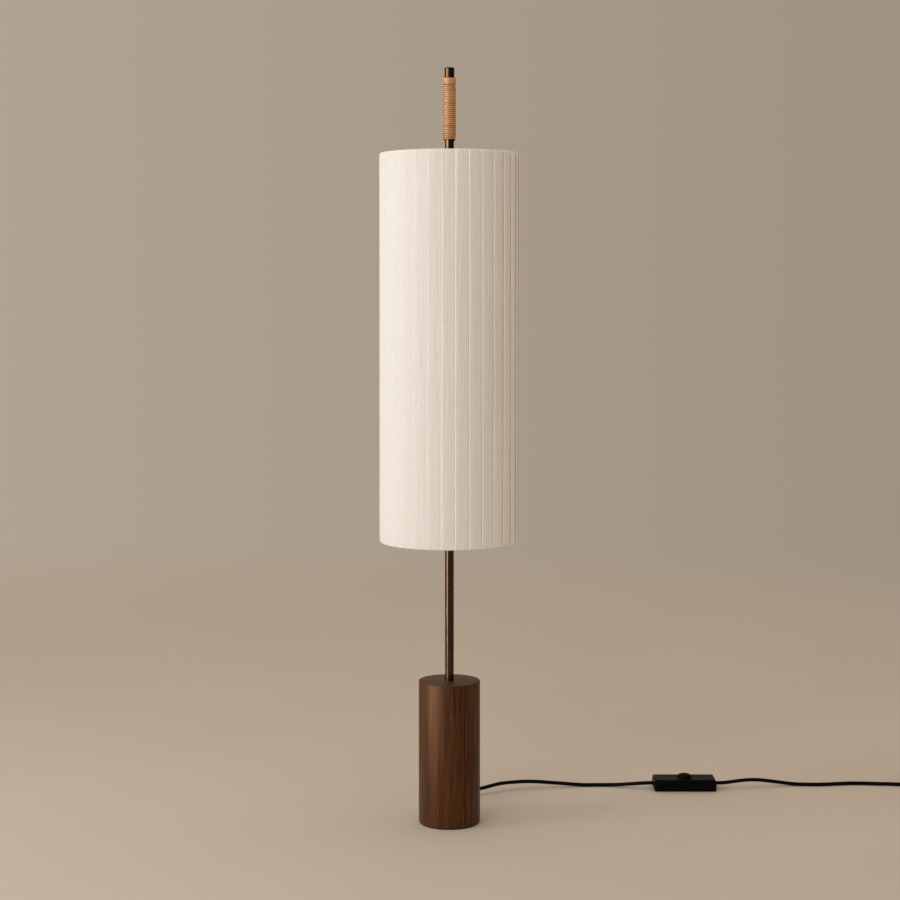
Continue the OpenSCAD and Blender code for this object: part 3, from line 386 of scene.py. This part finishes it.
def plated(name, colour, roughness):
    """Plated or cast metal with a cloudy sheen."""
    made = Finish(name, metallic=1.0)
    cloud = made.speckle(made.place(), 180, 3, 0.6)
    made.colour(made.mixed(made.part(cloud, 0.3, 0.7), [c * 0.88 for c in colour], colour))
    made.sheen_of(made.part(cloud, 0.3, 0.7, roughness - 0.06, roughness + 0.08))
    return made.material


def opal_glass():
    """White glass with a soft shine and a faint cloud."""
    made = Finish("opal_glass", roughness=0.22, specular_ior_level=0.5, coat_weight=0.3, coat_roughness=0.08)
    cloud = made.speckle(made.place(), 40, 2)
    made.colour(made.mixed(made.part(cloud, 0.3, 0.7), (0.80, 0.79, 0.76), (0.86, 0.85, 0.82)))
    return made.material


# Mesh helpers


def shown(name, mesh, material, body, slot, *nodes):
    """Makes a mesh a piece of the lamp: it rides on body, takes material and stands for nodes, which it
    hides. The slot argument is not used.
    """
    piece = bpy.data.objects.new(name, mesh)
    bpy.context.scene.collection.objects.link(piece)
    mesh.materials.clear()
    mesh.materials.append(material)
    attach(piece, body)
    if nodes:
        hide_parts(*nodes)
    return piece


def mesh_of(bm, name, sharp=35):
    """Ends a bmesh: smooth faces, with edges over sharp degrees left crisp."""
    for face in bm.faces:
        face.smooth = True
    mesh = bpy.data.meshes.new(name)
    bm.to_mesh(mesh)
    bm.free()
    mesh.set_sharp_from_angle(angle=math.radians(sharp))
    return mesh


def turned(name, profile, steps=96, sharp=35):
    """A closed profile of (radius, height) spun about the lamp's axis."""
    bm = bmesh.new()
    corners = [bm.verts.new((r, 0, z)) for r, z in profile]
    edges = [bm.edges.new(pair) for pair in zip(corners, corners[1:] + corners[:1])]
    bmesh.ops.spin(bm, geom=corners + edges, cent=(0, 0, 0), axis=(0, 0, 1), dvec=(0, 0, 0),
                   angle=2 * math.pi, steps=steps, use_merge=True, use_normal_flip=False, use_duplicate=False)
    bmesh.ops.remove_doubles(bm, verts=bm.verts, dist=1e-6)
    bmesh.ops.recalc_face_normals(bm, faces=bm.faces)
    return mesh_of(bm, name, sharp)


def rounded(profile, corner, radius, steps=4):
    """Replaces one right-angled corner of a profile by an arc."""
    before, at, after = (Vector(profile[(corner + k) % len(profile)]) for k in (-1, 0, 1))
    back, ahead = (before - at).normalized(), (after - at).normalized()
    centre = at + radius * (back + ahead)
    arc = [
        centre - radius * (ahead * math.cos(a) + back * math.sin(a))
        for a in (math.pi / 2 * k / steps for k in range(steps + 1))
    ]
    return profile[:corner] + [tuple(p) for p in arc] + profile[corner + 1:]


def smooth_copy(node, material, slot, sharp=32):
    """A merged, smooth-shaded copy of a CAD node that stands for it."""
    source = frame["nodes"][node]
    bm = bmesh.new()
    bm.from_mesh(source.data)
    bmesh.ops.remove_doubles(bm, verts=bm.verts, dist=2e-6)
    mesh = mesh_of(bm, node + "_smooth", sharp)
    piece = shown(node + "_smooth", mesh, material, source["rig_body"], slot, node)
    piece.modifiers.new("flat_faces", "WEIGHTED_NORMAL").keep_sharp = True
    return piece


def finish_node(node, material):
    """Gives a CAD node a better material."""
    slots = frame["nodes"][node].data.materials
    slots.clear()
    slots.append(material)


# Operators


class LAMP_OT_stage(bpy.types.Operator):
    """Sets the camera, the soft light and the plain floor"""

    bl_idname = "lamp.stage"
    bl_label = "Stage"

    def execute(self, context):
        sizes = context.scene.lamp_view
        eye = bpy.data.cameras.new("photo_camera")
        eye.lens, eye.sensor_width, eye.shift_y = sizes.lens, 36, sizes.shift
        # The lamp's axis lies 0.6 of a pixel left of the middle of a picture 900 pixels wide
        eye.shift_x = 0.6 / 900
        camera = bpy.data.objects.new("photo_camera", eye)
        camera.location = (0, -sizes.distance, sizes.height)
        camera.rotation_euler = (math.pi / 2 - sizes.pitch, 0, 0)
        context.scene.collection.objects.link(camera)
        context.scene.camera = camera
        self.lamp(context, "key_light", (-1.72, -3.23, 2.3), (0, 0, 0.75), (2.4, 2.4), sizes.key_power)
        self.lamp(context, "side_panel", (-2.1, -0.68, 1.4), (0, 0, 1.25), (0.87, 2.36), sizes.panel_power)
        card = self.lamp(context, "sheen_card", (-1.32, -0.76, 1.1), (0, 0, 1.1), (0.5, 2.18),
                         sizes.card_power)
        card.visible_diffuse = False
        card.data.color = (1, 0.88, 0.75)
        self.world(context, sizes)
        self.floor(context, sizes)
        return {"FINISHED"}

    def lamp(self, context, name, at, aim, size, power):
        """A soft rectangular light that the camera doesn't see."""
        light = bpy.data.lights.new(name, "AREA")
        light.shape, light.size, light.size_y, light.energy = "RECTANGLE", *size, power
        light.color = (0.91, 0.96, 1)
        holder = bpy.data.objects.new(name, light)
        holder.visible_camera = False
        holder.location = at
        holder.rotation_euler = (Vector(aim) - Vector(at)).to_track_quat("-Z", "Y").to_euler()
        context.scene.collection.objects.link(holder)
        return holder

    def world(self, context, sizes):
        """Fill light that falls off to the right, and the backdrop's colour where it is seen or mirrored."""
        world = bpy.data.worlds.new("soft_room")
        context.scene.world = world
        world.use_nodes = True
        tree = world.node_tree
        tree.nodes.clear()

        def add(kind, **settings):
            node = tree.nodes.new("ShaderNode" + kind)
            for label, value in settings.items():
                setattr(node, label, value)
            return node

        def lean(value, low, high, to_low, to_high):
            node = add("MapRange")
            tree.links.new(value, node.inputs["Value"])
            for label, bound in (("From Min", low), ("From Max", high), ("To Min", to_low),
                                 ("To Max", to_high)):
                node.inputs[label].default_value = bound
            return node.outputs["Result"]

        def joined(a, b, operation="ADD"):
            node = add("Math", operation=operation)
            tree.links.new(a, node.inputs[0])
            tree.links.new(b, node.inputs[1])
            return node.outputs[0]

        way = add("SeparateXYZ")
        tree.links.new(add("TexCoord").outputs["Generated"], way.inputs[0])
        across, back, up = (way.outputs[axis] for axis in "XYZ")
        level = lean(across, -1, 1, sizes.fill_left, sizes.fill_right)
        level = joined(level, lean(back, -1, 1, -sizes.fill_back, sizes.fill_back))
        level = joined(level, lean(up, -1, 1, -sizes.fill_top, sizes.fill_top))
        fill, seen = add("Background"), add("Background")
        fill.inputs["Color"].default_value = (1, 0.885, 0.765, 1)
        tree.links.new(level, fill.inputs["Strength"])
        seen.inputs["Color"].default_value = (*sizes.backdrop, 1)
        # Mirrored, the room is dark in front and at the right, and bright at the left and behind
        dim = lean(joined(across, lean(back, -1, 1, 0.9, -0.9)), -0.9, 0.1, 1, 0.28)
        rays = add("LightPath").outputs
        plain = add("Mix")
        tree.links.new(rays["Is Camera Ray"], plain.inputs[0])
        tree.links.new(dim, plain.inputs[2])
        tree.links.new(lean(across, -SIDE, SIDE, *WALL_FALL), plain.inputs[3])
        tree.links.new(plain.outputs[0], seen.inputs["Strength"])
        shown_to = joined(rays["Is Camera Ray"], rays["Is Glossy Ray"], "MAXIMUM")
        shown_to = joined(shown_to, rays["Is Transmission Ray"], "MAXIMUM")
        either, out = add("MixShader"), add("OutputWorld")
        tree.links.new(shown_to, either.inputs["Fac"])
        tree.links.new(fill.outputs[0], either.inputs[1])
        tree.links.new(seen.outputs[0], either.inputs[2])
        tree.links.new(either.outputs[0], out.inputs["Surface"])

    def floor(self, context, sizes):
        """A pale floor with a faint cloud, which passes into the backdrop far from the lamp."""
        bm = bmesh.new()
        bmesh.ops.create_circle(bm, cap_ends=True, segments=96, radius=14)
        mesh = mesh_of(bm, "pale_floor")
        made = Finish("pale_floor", roughness=0.9, specular_ior_level=0.05)
        spot = made.place()
        cloud = made.speckle(spot, 2.2, 4, 0.55)
        made.colour(made.mixed(made.part(cloud, 0.3, 0.7), [c * 0.965 for c in sizes.floor], sizes.floor))
        # As a studio's sweep does, the far floor glows in the backdrop's colour, with a painted fall of
        # light, lighter at the left and darker at the right. The fall's direction is read from Incoming, so
        # it follows the view
        away = made.add("VectorMath", {0: spot}, operation="LENGTH").outputs["Value"]
        far = made.add("MapRange", {"Value": away, "From Min": 0.9, "From Max": 4.5},
                       interpolation_type="SMOOTHERSTEP").outputs["Result"]
        looked = made.add("LightPath").outputs["Is Camera Ray"]
        toward = made.add("SeparateXYZ", {0: made.add("NewGeometry").outputs["Incoming"]}).outputs["X"]
        fall = made.part(toward, -SIDE, SIDE, *reversed(WALL_FALL))
        glow = made.add("Emission", {"Color": (*sizes.backdrop, 1), "Strength": fall}).outputs[0]
        share = made.sum("MULTIPLY", far, looked)
        either = made.add("MixShader", {0: share, 1: made.shader.outputs[0], 2: glow})
        made.put(made.nodes["Material Output"].inputs["Surface"], either.outputs[0])
        mesh.materials.append(made.material)
        floor = bpy.data.objects.new("pale_floor", mesh)
        context.scene.collection.objects.link(floor)


class LAMP_OT_lead(bpy.types.Operator):
    """Lays the mains lead from the base through the floor switch to the coil and its plug"""

    bl_idname = "lamp.lead"
    bl_label = "Mains lead"

    def execute(self, context):
        sizes = context.scene.lamp_lead
        sheath = moulded("lead_sheath", (0.0022, 0.002, 0.0018), 0.42, 2200, 0.00003)
        rubber = moulded("black_rubber", (0.006, 0.0055, 0.005), 0.55)
        steel = plated("plated_steel", (0.72, 0.71, 0.69), 0.28)
        relief = smooth_copy("cord_relief", rubber, "black_rubber")
        plug = smooth_copy("plug_body", rubber, "black_rubber")
        pins = smooth_copy("plug_pins", steel, "plated_steel")
        finish_node("lead_tail", sheath)
        finish_node("switch_leads", sheath)
        tail_end = highest("cord_relief")
        enter, leave = lowest("switch_base"), highest("switch_base")
        middle = ((enter + leave) / 2).y
        first = [(0, tail_end.y - STRAIGHT, BASE_EXIT), (0, tail_end.y + STRAIGHT, BASE_EXIT), *LAY_TO_SWITCH,
                 (enter.x - STRAIGHT, middle, SWITCH_PASS), (enter.x + STRAIGHT, middle, SWITCH_PASS)]
        second = [(leave.x - STRAIGHT, middle, SWITCH_PASS), (leave.x + STRAIGHT, middle, SWITCH_PASS),
                  *LAY_TO_COIL, *self.coil(sizes), PLUG_ENTRY]
        one = self.run("lead_to_switch", first, sizes, sheath, "cord_base_to_switch")
        two = self.run("lead_to_plug", second, sizes, sheath, "cord_switch_to_coil", "cord_coil")
        return {"FINISHED"}

    def coil(self, sizes):
        """The coil's points: it spirals in, climbs a layer where it turns back, and spirals out."""
        made = []
        for k in range(1, int(COIL_TURNS * COIL_STEPS) + 1):
            t = k / COIL_STEPS
            radius = sizes.coil_radius - sizes.coil_pitch * (t if t < COIL_IN else 2 * COIL_IN - t)
            angle = 2 * math.pi * t - math.pi / 2
            climb = within((t - CLIMB_FROM) / CLIMB_OVER)
            drop = within((t - DROP_FROM) / (COIL_TURNS - DROP_FROM))
            height = COIL_LOW + (COIL_HIGH - COIL_LOW) * climb + (PLUG_HEIGHT - COIL_HIGH) * drop
            x, y = COIL_AXIS[0] + radius * math.cos(angle), COIL_AXIS[1] + radius * math.sin(angle)
            made.append((x, y, height))
        return made

    def length(self, points):
        """Length of the way from point to point, in metres."""
        return sum((Vector(b) - Vector(a)).length for a, b in zip(points, points[1:]))

    def run(self, name, points, sizes, material, *nodes):
        """One open spline through the points, as thick as the lead."""
        curve = bpy.data.curves.new(name, "CURVE")
        curve.dimensions, curve.bevel_depth, curve.bevel_resolution = "3D", sizes.diameter / 2, 4
        curve.resolution_u, curve.use_fill_caps = 4, True
        spline = curve.splines.new("BEZIER")
        spline.bezier_points.add(len(points) - 1)
        for knot, at in zip(spline.bezier_points, points):
            knot.co = at
            knot.handle_left_type = knot.handle_right_type = "AUTO"
        curve.materials.append(material)
        lead = bpy.data.objects.new(name, curve)
        bpy.context.scene.collection.objects.link(lead)
        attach(lead, LAMP_BODY)
        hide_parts(*nodes)
        return lead


class LAMP_OT_shade(bpy.types.Operator):
    """Folds the pleated cover and makes the lining behind it"""

    bl_idname = "lamp.shade"
    bl_label = "Pleated shade"

    # One pleat across its width, from under its own fold to under the next: share of the width, height over
    # the lowest point as a share of the fold's height, and how deep in the fold the cloth lies, which sets
    # how much painted shade it takes
    SECTION = (
        (0.150, 0.03, 1.0), (0.158, 0.08, 1.0), (0.140, 0.12, 1.0), (0.080, 0.12, 1.0), (0.035, 0.13, 1.0),
        (0.012, 0.16, 1.0), (0.0, 0.24, 0.7), (-0.007, 0.36, 0.25), (-0.008, 0.49, 0.0), (-0.004, 0.62, 0.0),
        (0.004, 0.75, 0.0), (0.014, 0.85, 0.0), (0.028, 0.935, 0.0), (0.046, 0.985, 0.0), (0.070, 1.0, 0.0),
        (0.120, 0.975, 0.0), (0.200, 0.91, 0.0), (0.300, 0.81, 0.0), (0.420, 0.68, 0.0), (0.550, 0.53, 0.0),
        (0.680, 0.38, 0.0), (0.800, 0.245, 0.0), (0.880, 0.16, 0.0), (0.930, 0.105, 0.1), (0.960, 0.075, 0.5),
        (0.985, 0.05, 0.9), (1.020, 0.03, 1.0), (1.080, 0.01, 1.0), (1.130, 0.01, 1.0),
    )
    ROWS = 64
    # How much cloth is turned in at each rim, and rows added close to the rims, by their distance from them
    HEM = 0.008
    NEAR_RIMS = (0.0008, 0.0018, 0.003, 0.0045, 0.0065, 0.009)

    def execute(self, context):
        sizes = context.scene.lamp_shade
        cloth = pleated_cloth(sizes)
        cover = shown("pleated_cover", self.cover(sizes), cloth, SHADE_BODY, "shade_cloth", "shade_cover")
        low, high = lowest("shade_lining"), highest("shade_lining")
        # The lining lies just inside the deepest folds and just outside the frame
        outer, wall = high.x - 0.00035, 0.00025
        profile = [(outer, low.z), (outer, high.z), (outer - wall, high.z), (outer - wall, low.z)]
        lining = turned("paper_lining", profile, 128)
        shown("paper_lining", lining, shade_lining(), SHADE_BODY, "shade_lining", "shade_lining")
        return {"FINISHED"}

    def hem_length(self, sizes):
        """What one rim takes of the cloth over the shade's height."""
        return sizes.rim_roll * math.pi / 2 + self.HEM

    def rows(self, sizes):
        """Height, distance inwards and flatness of each row, from the lower hem to the upper one."""
        low, high, roll, hem = self.low, self.high, sizes.rim_roll, self.HEM
        half = [(low + roll + hem, 2 * roll, 0.0), (low + roll + hem / 2, 2 * roll, 0.0)]
        half += [
            (low + roll - roll * math.sin(a), roll + roll * math.cos(a), 0.5 - 0.5 * math.cos(a))
            for a in (math.pi * k / 8 for k in range(9))
        ]
        body = [low + roll + (high - low - 2 * roll) * k / self.ROWS for k in range(1, self.ROWS)]
        near = [low + roll + step for step in self.NEAR_RIMS]
        near += [high - roll - step for step in self.NEAR_RIMS]
        upper = [(low + high - z, inward, flat) for z, inward, flat in reversed(half)]
        return half + [(z, 0.0, 1.0) for z in sorted(body + near)] + upper

    def columns(self, sizes):
        """The section of every pleat in turn, and how far each of its points lies across the flat cloth."""
        made = [
            (pleat + share, height, deep)
            for pleat in range(sizes.pleats)
            for share, height, deep in self.SECTION
        ]
        made.append((made[0][0] + sizes.pleats, *made[0][1:]))
        width = 2 * math.pi * sizes.outer_radius / sizes.pleats
        across = [0.0]
        for a, b in zip(made, made[1:]):
            across.append(across[-1] + math.hypot((b[0] - a[0]) * width, (b[1] - a[1]) * sizes.fold_height))
        return made, across

    def cover(self, sizes):
        """The cloth as one grid whose columns follow the pleats' section and close into a ring."""
        self.low, self.high = lowest("shade_cover").z, highest("shade_cover").z
        rows = self.rows(sizes)
        columns, across = self.columns(sizes)
        bm = bmesh.new()
        bmesh.ops.create_grid(bm, x_segments=len(columns) - 1, y_segments=len(rows) - 1, size=1)
        cut = bm.loops.layers.uv.new("cloth")
        fold = bm.verts.layers.float.new("fold")
        place = {}
        for v in bm.verts:
            i = round((v.co.x + 1) / 2 * (len(columns) - 1))
            j = round((v.co.y + 1) / 2 * (len(rows) - 1))
            place[v] = (i, j)
        for face in bm.faces:
            for loop in face.loops:
                i, j = place[loop.vert]
                loop[cut].uv = (across[i], rows[j][0] - rows[j][1])
        for v, (i, j) in place.items():
            v.co = self.point(sizes, columns[i], rows[j])
            edge = min(rows[j][0] - self.low, self.high - rows[j][0]) - sizes.rim_roll
            # Painted shade deep in the folds, faded out near the rims where the folds are pressed flat
            v[fold] = columns[i][2] * rows[j][2] * within(edge / 0.006)
        bmesh.ops.remove_doubles(bm, verts=bm.verts, dist=1e-7)
        bmesh.ops.recalc_face_normals(bm, faces=bm.faces)
        return mesh_of(bm, "pleated_cover", 180)

    def point(self, sizes, column, row):
        """Where one point of the cloth lies: folded, a little uneven, and puckered near the rims."""
        share, height, _ = column
        z, inward, flat = row
        pleat = math.floor(share + 0.012) % sizes.pleats
        # The folds are pressed flat where the cloth is bound to the rings
        edge = max(0.0, min(z - self.low, self.high - z) - sizes.rim_roll)
        stands = 0.45 + 0.55 * (1 - math.exp(-edge / 0.0035)) * flat
        drift = 0.035 * noise.noise((pleat * 3.7, 0.2, z * 2.1)) * flat
        proud = 1 + 0.2 * noise.noise((pleat * 1.9, 5.1, z * 3.0))
        angle = sizes.first_fold + 2 * math.pi * (share + drift) / sizes.pleats
        rim = math.exp(-(self.high - z) / 0.05) + 0.5 * math.exp(-(z - self.low) / 0.025)
        ripple = noise.noise((math.cos(angle) * 30, math.sin(angle) * 30, z * 6)) * rim * sizes.pucker * 2.2
        slack = 0.0003 * noise.noise((math.cos(angle) * 16, math.sin(angle) * 16, z * 4))
        lift = height * proud * stands + (1 - stands) * 0.4
        radius = (sizes.outer_radius - sizes.fold_height * (1 - lift) - inward
                  + (ripple + slack) * flat * (0.2 + 0.8 * height) * min(1.0, edge / 0.004))
        return Vector((radius * math.cos(angle), radius * math.sin(angle), z))


class LAMP_OT_grip(bpy.types.Operator):
    """Winds the cane strand round the stem and lays the band over its end"""

    bl_idname = "lamp.grip"
    bl_label = "Wound grip"

    def execute(self, context):
        sizes = context.scene.lamp_grip
        skin = cane(sizes)
        shown("cane_winding", self.winding(sizes), skin, LAMP_BODY, "grip_cane", "grip_wrap")
        shown("cane_band", self.band(), skin, LAMP_BODY, "grip_cane", "grip_band")
        return {"FINISHED"}

    def winding(self, sizes):
        """An uneven strand: a flattened ring screwed up the stem, then shifted turn by turn."""
        low, top = lowest("grip_wrap").z, lowest("grip_band").z
        stem = highest("stem_tube").x
        steps = 40
        rise = (top - low - sizes.strand_height) / sizes.turns
        centre = stem + sizes.strand_depth / 2 + 0.0002
        start = low + sizes.strand_height / 2
        bm = bmesh.new()
        ring = bmesh.ops.create_circle(bm, cap_ends=False, segments=12, radius=0.5)["verts"]
        for v in ring:
            v.co = Vector((centre + self.squared(v.co.x) * sizes.strand_depth, 0,
                           start + self.squared(v.co.y) * sizes.strand_height))
        edges = list({e for v in ring for e in v.link_edges})
        total = int(sizes.turns * steps)
        bmesh.ops.spin(bm, geom=ring + edges, cent=(0, 0, 0), axis=(0, 0, 1), dvec=(0, 0, rise / steps),
                       angle=2 * math.pi * sizes.turns, steps=total, use_merge=False, use_normal_flip=False,
                       use_duplicate=False)
        bmesh.ops.holes_fill(bm, edges=[e for e in bm.edges if e.is_boundary], sides=12)
        bmesh.ops.recalc_face_normals(bm, faces=bm.faces)
        tone = bm.verts.layers.float.new("tone")
        gap = bm.verts.layers.float.new("gap")
        along = bm.verts.layers.float_vector.new("along")
        for v in bm.verts:
            part = (math.atan2(v.co.y, v.co.x) / (2 * math.pi)) % 1
            t = round((v.co.z - start) / rise - part) + part
            out = Vector((v.co.x, v.co.y)).length - centre
            up = v.co.z - start - rise * t
            thick = 1 + 0.10 * noise.noise((t * 1.3, 2.2, 0)) + 0.06 * noise.noise((t * 5.1, 7.7, 0))
            lift = 0.00025 * noise.noise((t * 1.1, 0, 3.3)) + 0.00015 * noise.noise((t * 4.3, 9.1, 0))
            shift = 0.0004 * noise.noise((t * 0.9, 4.4, 1.0))
            radius = centre + out * thick + lift
            ends = min(t, sizes.turns - t)
            radius -= 0.0012 * max(0.0, 1 - ends / 0.15)
            angle = 2 * math.pi * part
            v.co = Vector((radius * math.cos(angle), radius * math.sin(angle),
                           start + rise * t + up * (1 + 0.5 * (thick - 1)) + shift))
            v[tone] = 0.5 + 0.9 * noise.noise((t * 0.85, 1.5, 6.0)) + 0.25 * noise.noise((t * 3.0, 8.5, 2.0))
            # Painted shade towards the strand's upper and lower edges, where it meets the next turn
            v[gap] = within((abs(up) / sizes.strand_height - 0.33) * 7)
            v[along] = (t, out, up)
        return mesh_of(bm, "cane_winding", 180)

    def squared(self, share):
        """Pushes a point of the ring outwards, so that the strand is flatter than round."""
        return math.copysign(0.5 * abs(2 * share) ** 0.7, share)

    def band(self):
        """A plain sleeve with three fine lines pressed round it."""
        low, high = lowest("grip_band"), highest("grip_band")
        inner, outer = highest("stem_tube").x + 0.0001, high.x
        tall, bore_wall = high.z - low.z, 0.0007
        profile = [(inner, low.z), (outer - 0.0012, low.z)]
        # Share of the band's height, and how deep its outside lies there
        for at, deep in ((0.02, 0.0002), (0.06, 0.0), (0.20, 0.0), (0.235, 0.0005), (0.27, 0.0),
                         (0.44, 0.0001), (0.475, 0.0005), (0.51, 0.0001), (0.72, 0.0), (0.75, 0.0003),
                         (0.78, 0.0), (0.93, 0.0001), (0.98, 0.0005)):
            profile.append((outer - deep, low.z + tall * at))
        profile += [(outer - 0.0014, high.z), (inner, high.z)]
        mesh = turned("cane_band", profile, 72, 60)
        tone = mesh.attributes.new("tone", "FLOAT", "POINT")
        gap = mesh.attributes.new("gap", "FLOAT", "POINT")
        along = mesh.attributes.new("along", "FLOAT_VECTOR", "POINT")
        for v in mesh.vertices:
            angle = math.atan2(v.co.y, v.co.x)
            radius = Vector((v.co.x, v.co.y)).length
            wob = 1 + 0.012 * noise.noise((math.cos(angle) * 1.5, math.sin(angle) * 1.5, v.co.z * 300))
            if radius > inner + bore_wall:
                v.co = (v.co.x * wob, v.co.y * wob, v.co.z)
            tone.data[v.index].value = 0.3 + 0.2 * noise.noise((angle, v.co.z * 90, 0))
            # Painted shade in the three pressed lines
            gap.data[v.index].value = within((outer - radius - 0.0002) / 0.0003) * 0.55
            along.data[v.index].vector = (angle / (2 * math.pi), 0, v.co.z)
        return mesh


class LAMP_OT_wood(bpy.types.Operator):
    """Turns the wood base with softened edges, and finishes the pieces under it"""

    bl_idname = "lamp.wood"
    bl_label = "Wood base"

    def execute(self, context):
        sizes = context.scene.lamp_wood
        low, high = lowest("wood_base"), highest("wood_base")
        plate, ballast = highest("base_plate"), highest("ballast")
        nut = highest("stem_flange_nut")
        outer, gap = high.x, 0.0001
        bore = highest("stem_tube").x + gap
        # Room over the nut and round it
        roof, room = nut.z + 0.0003, nut.x + 0.001
        profile = [
            (outer, low.z), (outer, high.z), (bore, high.z), (bore, roof), (room, roof), (room, ballast.z),
            (ballast.x + 2 * gap, ballast.z), (ballast.x + 2 * gap, plate.z), (plate.x + gap, plate.z),
            (plate.x + gap, low.z),
        ]
        profile = rounded(profile, 1, sizes.arris)
        profile = rounded(profile, 0, sizes.arris * 1.2)
        shown("turned_base", turned("turned_base", profile, 128, 30), walnut(sizes), LAMP_BODY, "dark_wood",
              "wood_base")
        felt = Finish("felt", roughness=0.95, specular_ior_level=0.1, sheen_weight=0.3)
        fuzz = felt.speckle(felt.place(), 900, 4, 0.7)
        felt.colour(felt.mixed(felt.part(fuzz, 0.3, 0.7), (0.012, 0.011, 0.010), (0.035, 0.033, 0.031)))
        felt.bump(fuzz, 0.0004, 0.8)
        finish_node("felt_pad", felt.material)
        iron = plated("iron", (0.16, 0.155, 0.15), 0.5)
        for node in ("base_plate", "ballast"):
            finish_node(node, iron)
        return {"FINISHED"}


class LAMP_OT_metal(bpy.types.Operator):
    """Finishes the stem, its cap, the shade's carrier and frame, and the lampholders with their bulbs"""

    bl_idname = "lamp.metal"
    bl_label = "Stem, frame and lampholders"

    def execute(self, context):
        bronze = dark_bronze()
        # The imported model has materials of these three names, and they are the ones found here
        steel, iron, black = (bpy.data.materials[name] for name in ("plated_steel", "iron", "black_plastic"))
        for node in ("stem_tube", "end_cap", "shade_carrier", "shade_lock_ring"):
            smooth_copy(node, bronze, "dark_bronze")
        for node in ("shade_top_ring", "shade_bottom_ring", "shade_ribs", "spider_arms", "spider_hub",
                     "upper_socket", "lower_socket"):
            smooth_copy(node, steel, "plated_steel")
        smooth_copy("lamp_cluster", iron, "iron")
        for node in ("upper_holder", "lower_holder"):
            smooth_copy(node, black, "black_plastic")
        brass = plated("bulb_metal", (0.74, 0.66, 0.50), 0.25)
        opal = opal_glass()
        for side in ("upper", "lower"):
            smooth_copy(side + "_bulb_cap", brass, "bulb_metal")
            smooth_copy(side + "_bulb", opal, "opal_glass", 60)
        for node in ("base_screws", "stem_washer", "stem_nut", "stem_flange_nut", "anchor_screws",
                     "cluster_screw", "carrier_screw", "clamp_screws", "switch_screws", "switch_clamps"):
            finish_node(node, steel)
        spring = smooth_copy("button_spring", steel, "plated_steel", 70)
        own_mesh(spring)
        white = moulded("white_plastic", (0.70, 0.68, 0.63), 0.4)
        for node in ("terminal_block", "switch_contacts"):
            finish_node(node, white)
        finish_node("lamp_wires", moulded("white_wire", (0.74, 0.73, 0.70), 0.45))
        for node in ("anchor_block", "anchor_bridge"):
            finish_node(node, black)
        return {"FINISHED"}


class LAMP_OT_switch(bpy.types.Operator):
    """Finishes the floor switch: both halves of its case and the push button"""

    bl_idname = "lamp.switch"
    bl_label = "Floor switch"

    def execute(self, context):
        shell = moulded("black_plastic", (0.0014, 0.0012, 0.001), 0.44)
        for node in ("switch_base", "switch_cover", "switch_button"):
            smooth_copy(node, shell, "black_plastic")
        return {"FINISHED"}


class LAMP_PT_sidebar(bpy.types.Panel):
    """Every step's button, and under them the sizes and colours"""

    bl_label = "Floor lamp"
    bl_idname = "LAMP_PT_sidebar"
    bl_space_type = "VIEW_3D"
    bl_region_type = "UI"
    bl_category = "Floor lamp"

    def draw(self, context):
        for step in STEPS:
            self.layout.operator(step.bl_idname)
        for name, group in GROUPS.items():
            box = self.layout.box()
            for label in group.__annotations__:
                box.prop(getattr(context.scene, name), label)


STEPS = (LAMP_OT_stage, LAMP_OT_switch, LAMP_OT_lead, LAMP_OT_shade, LAMP_OT_grip, LAMP_OT_wood,
         LAMP_OT_metal)
GROUPS = {"lamp_view": LampView, "lamp_shade": LampShade, "lamp_grip": LampGrip, "lamp_wood": LampWood,
          "lamp_lead": LampLead}


def register():
    for kind in (*GROUPS.values(), *STEPS, LAMP_PT_sidebar):
        bpy.utils.register_class(kind)
    for name, group in GROUPS.items():
        setattr(bpy.types.Scene, name, PointerProperty(type=group))


def unregister():
    for name in GROUPS:
        delattr(bpy.types.Scene, name)
    for kind in (LAMP_PT_sidebar, *reversed(STEPS), *reversed(tuple(GROUPS.values()))):
        bpy.utils.unregister_class(kind)


def main():
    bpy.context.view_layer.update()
    register()
    for step in STEPS:
        family, name = step.bl_idname.split(".")
        getattr(getattr(bpy.ops, family), name)()
    bpy.context.scene.view_settings.view_transform = "Standard"


if __name__ == "__main__":
    main()
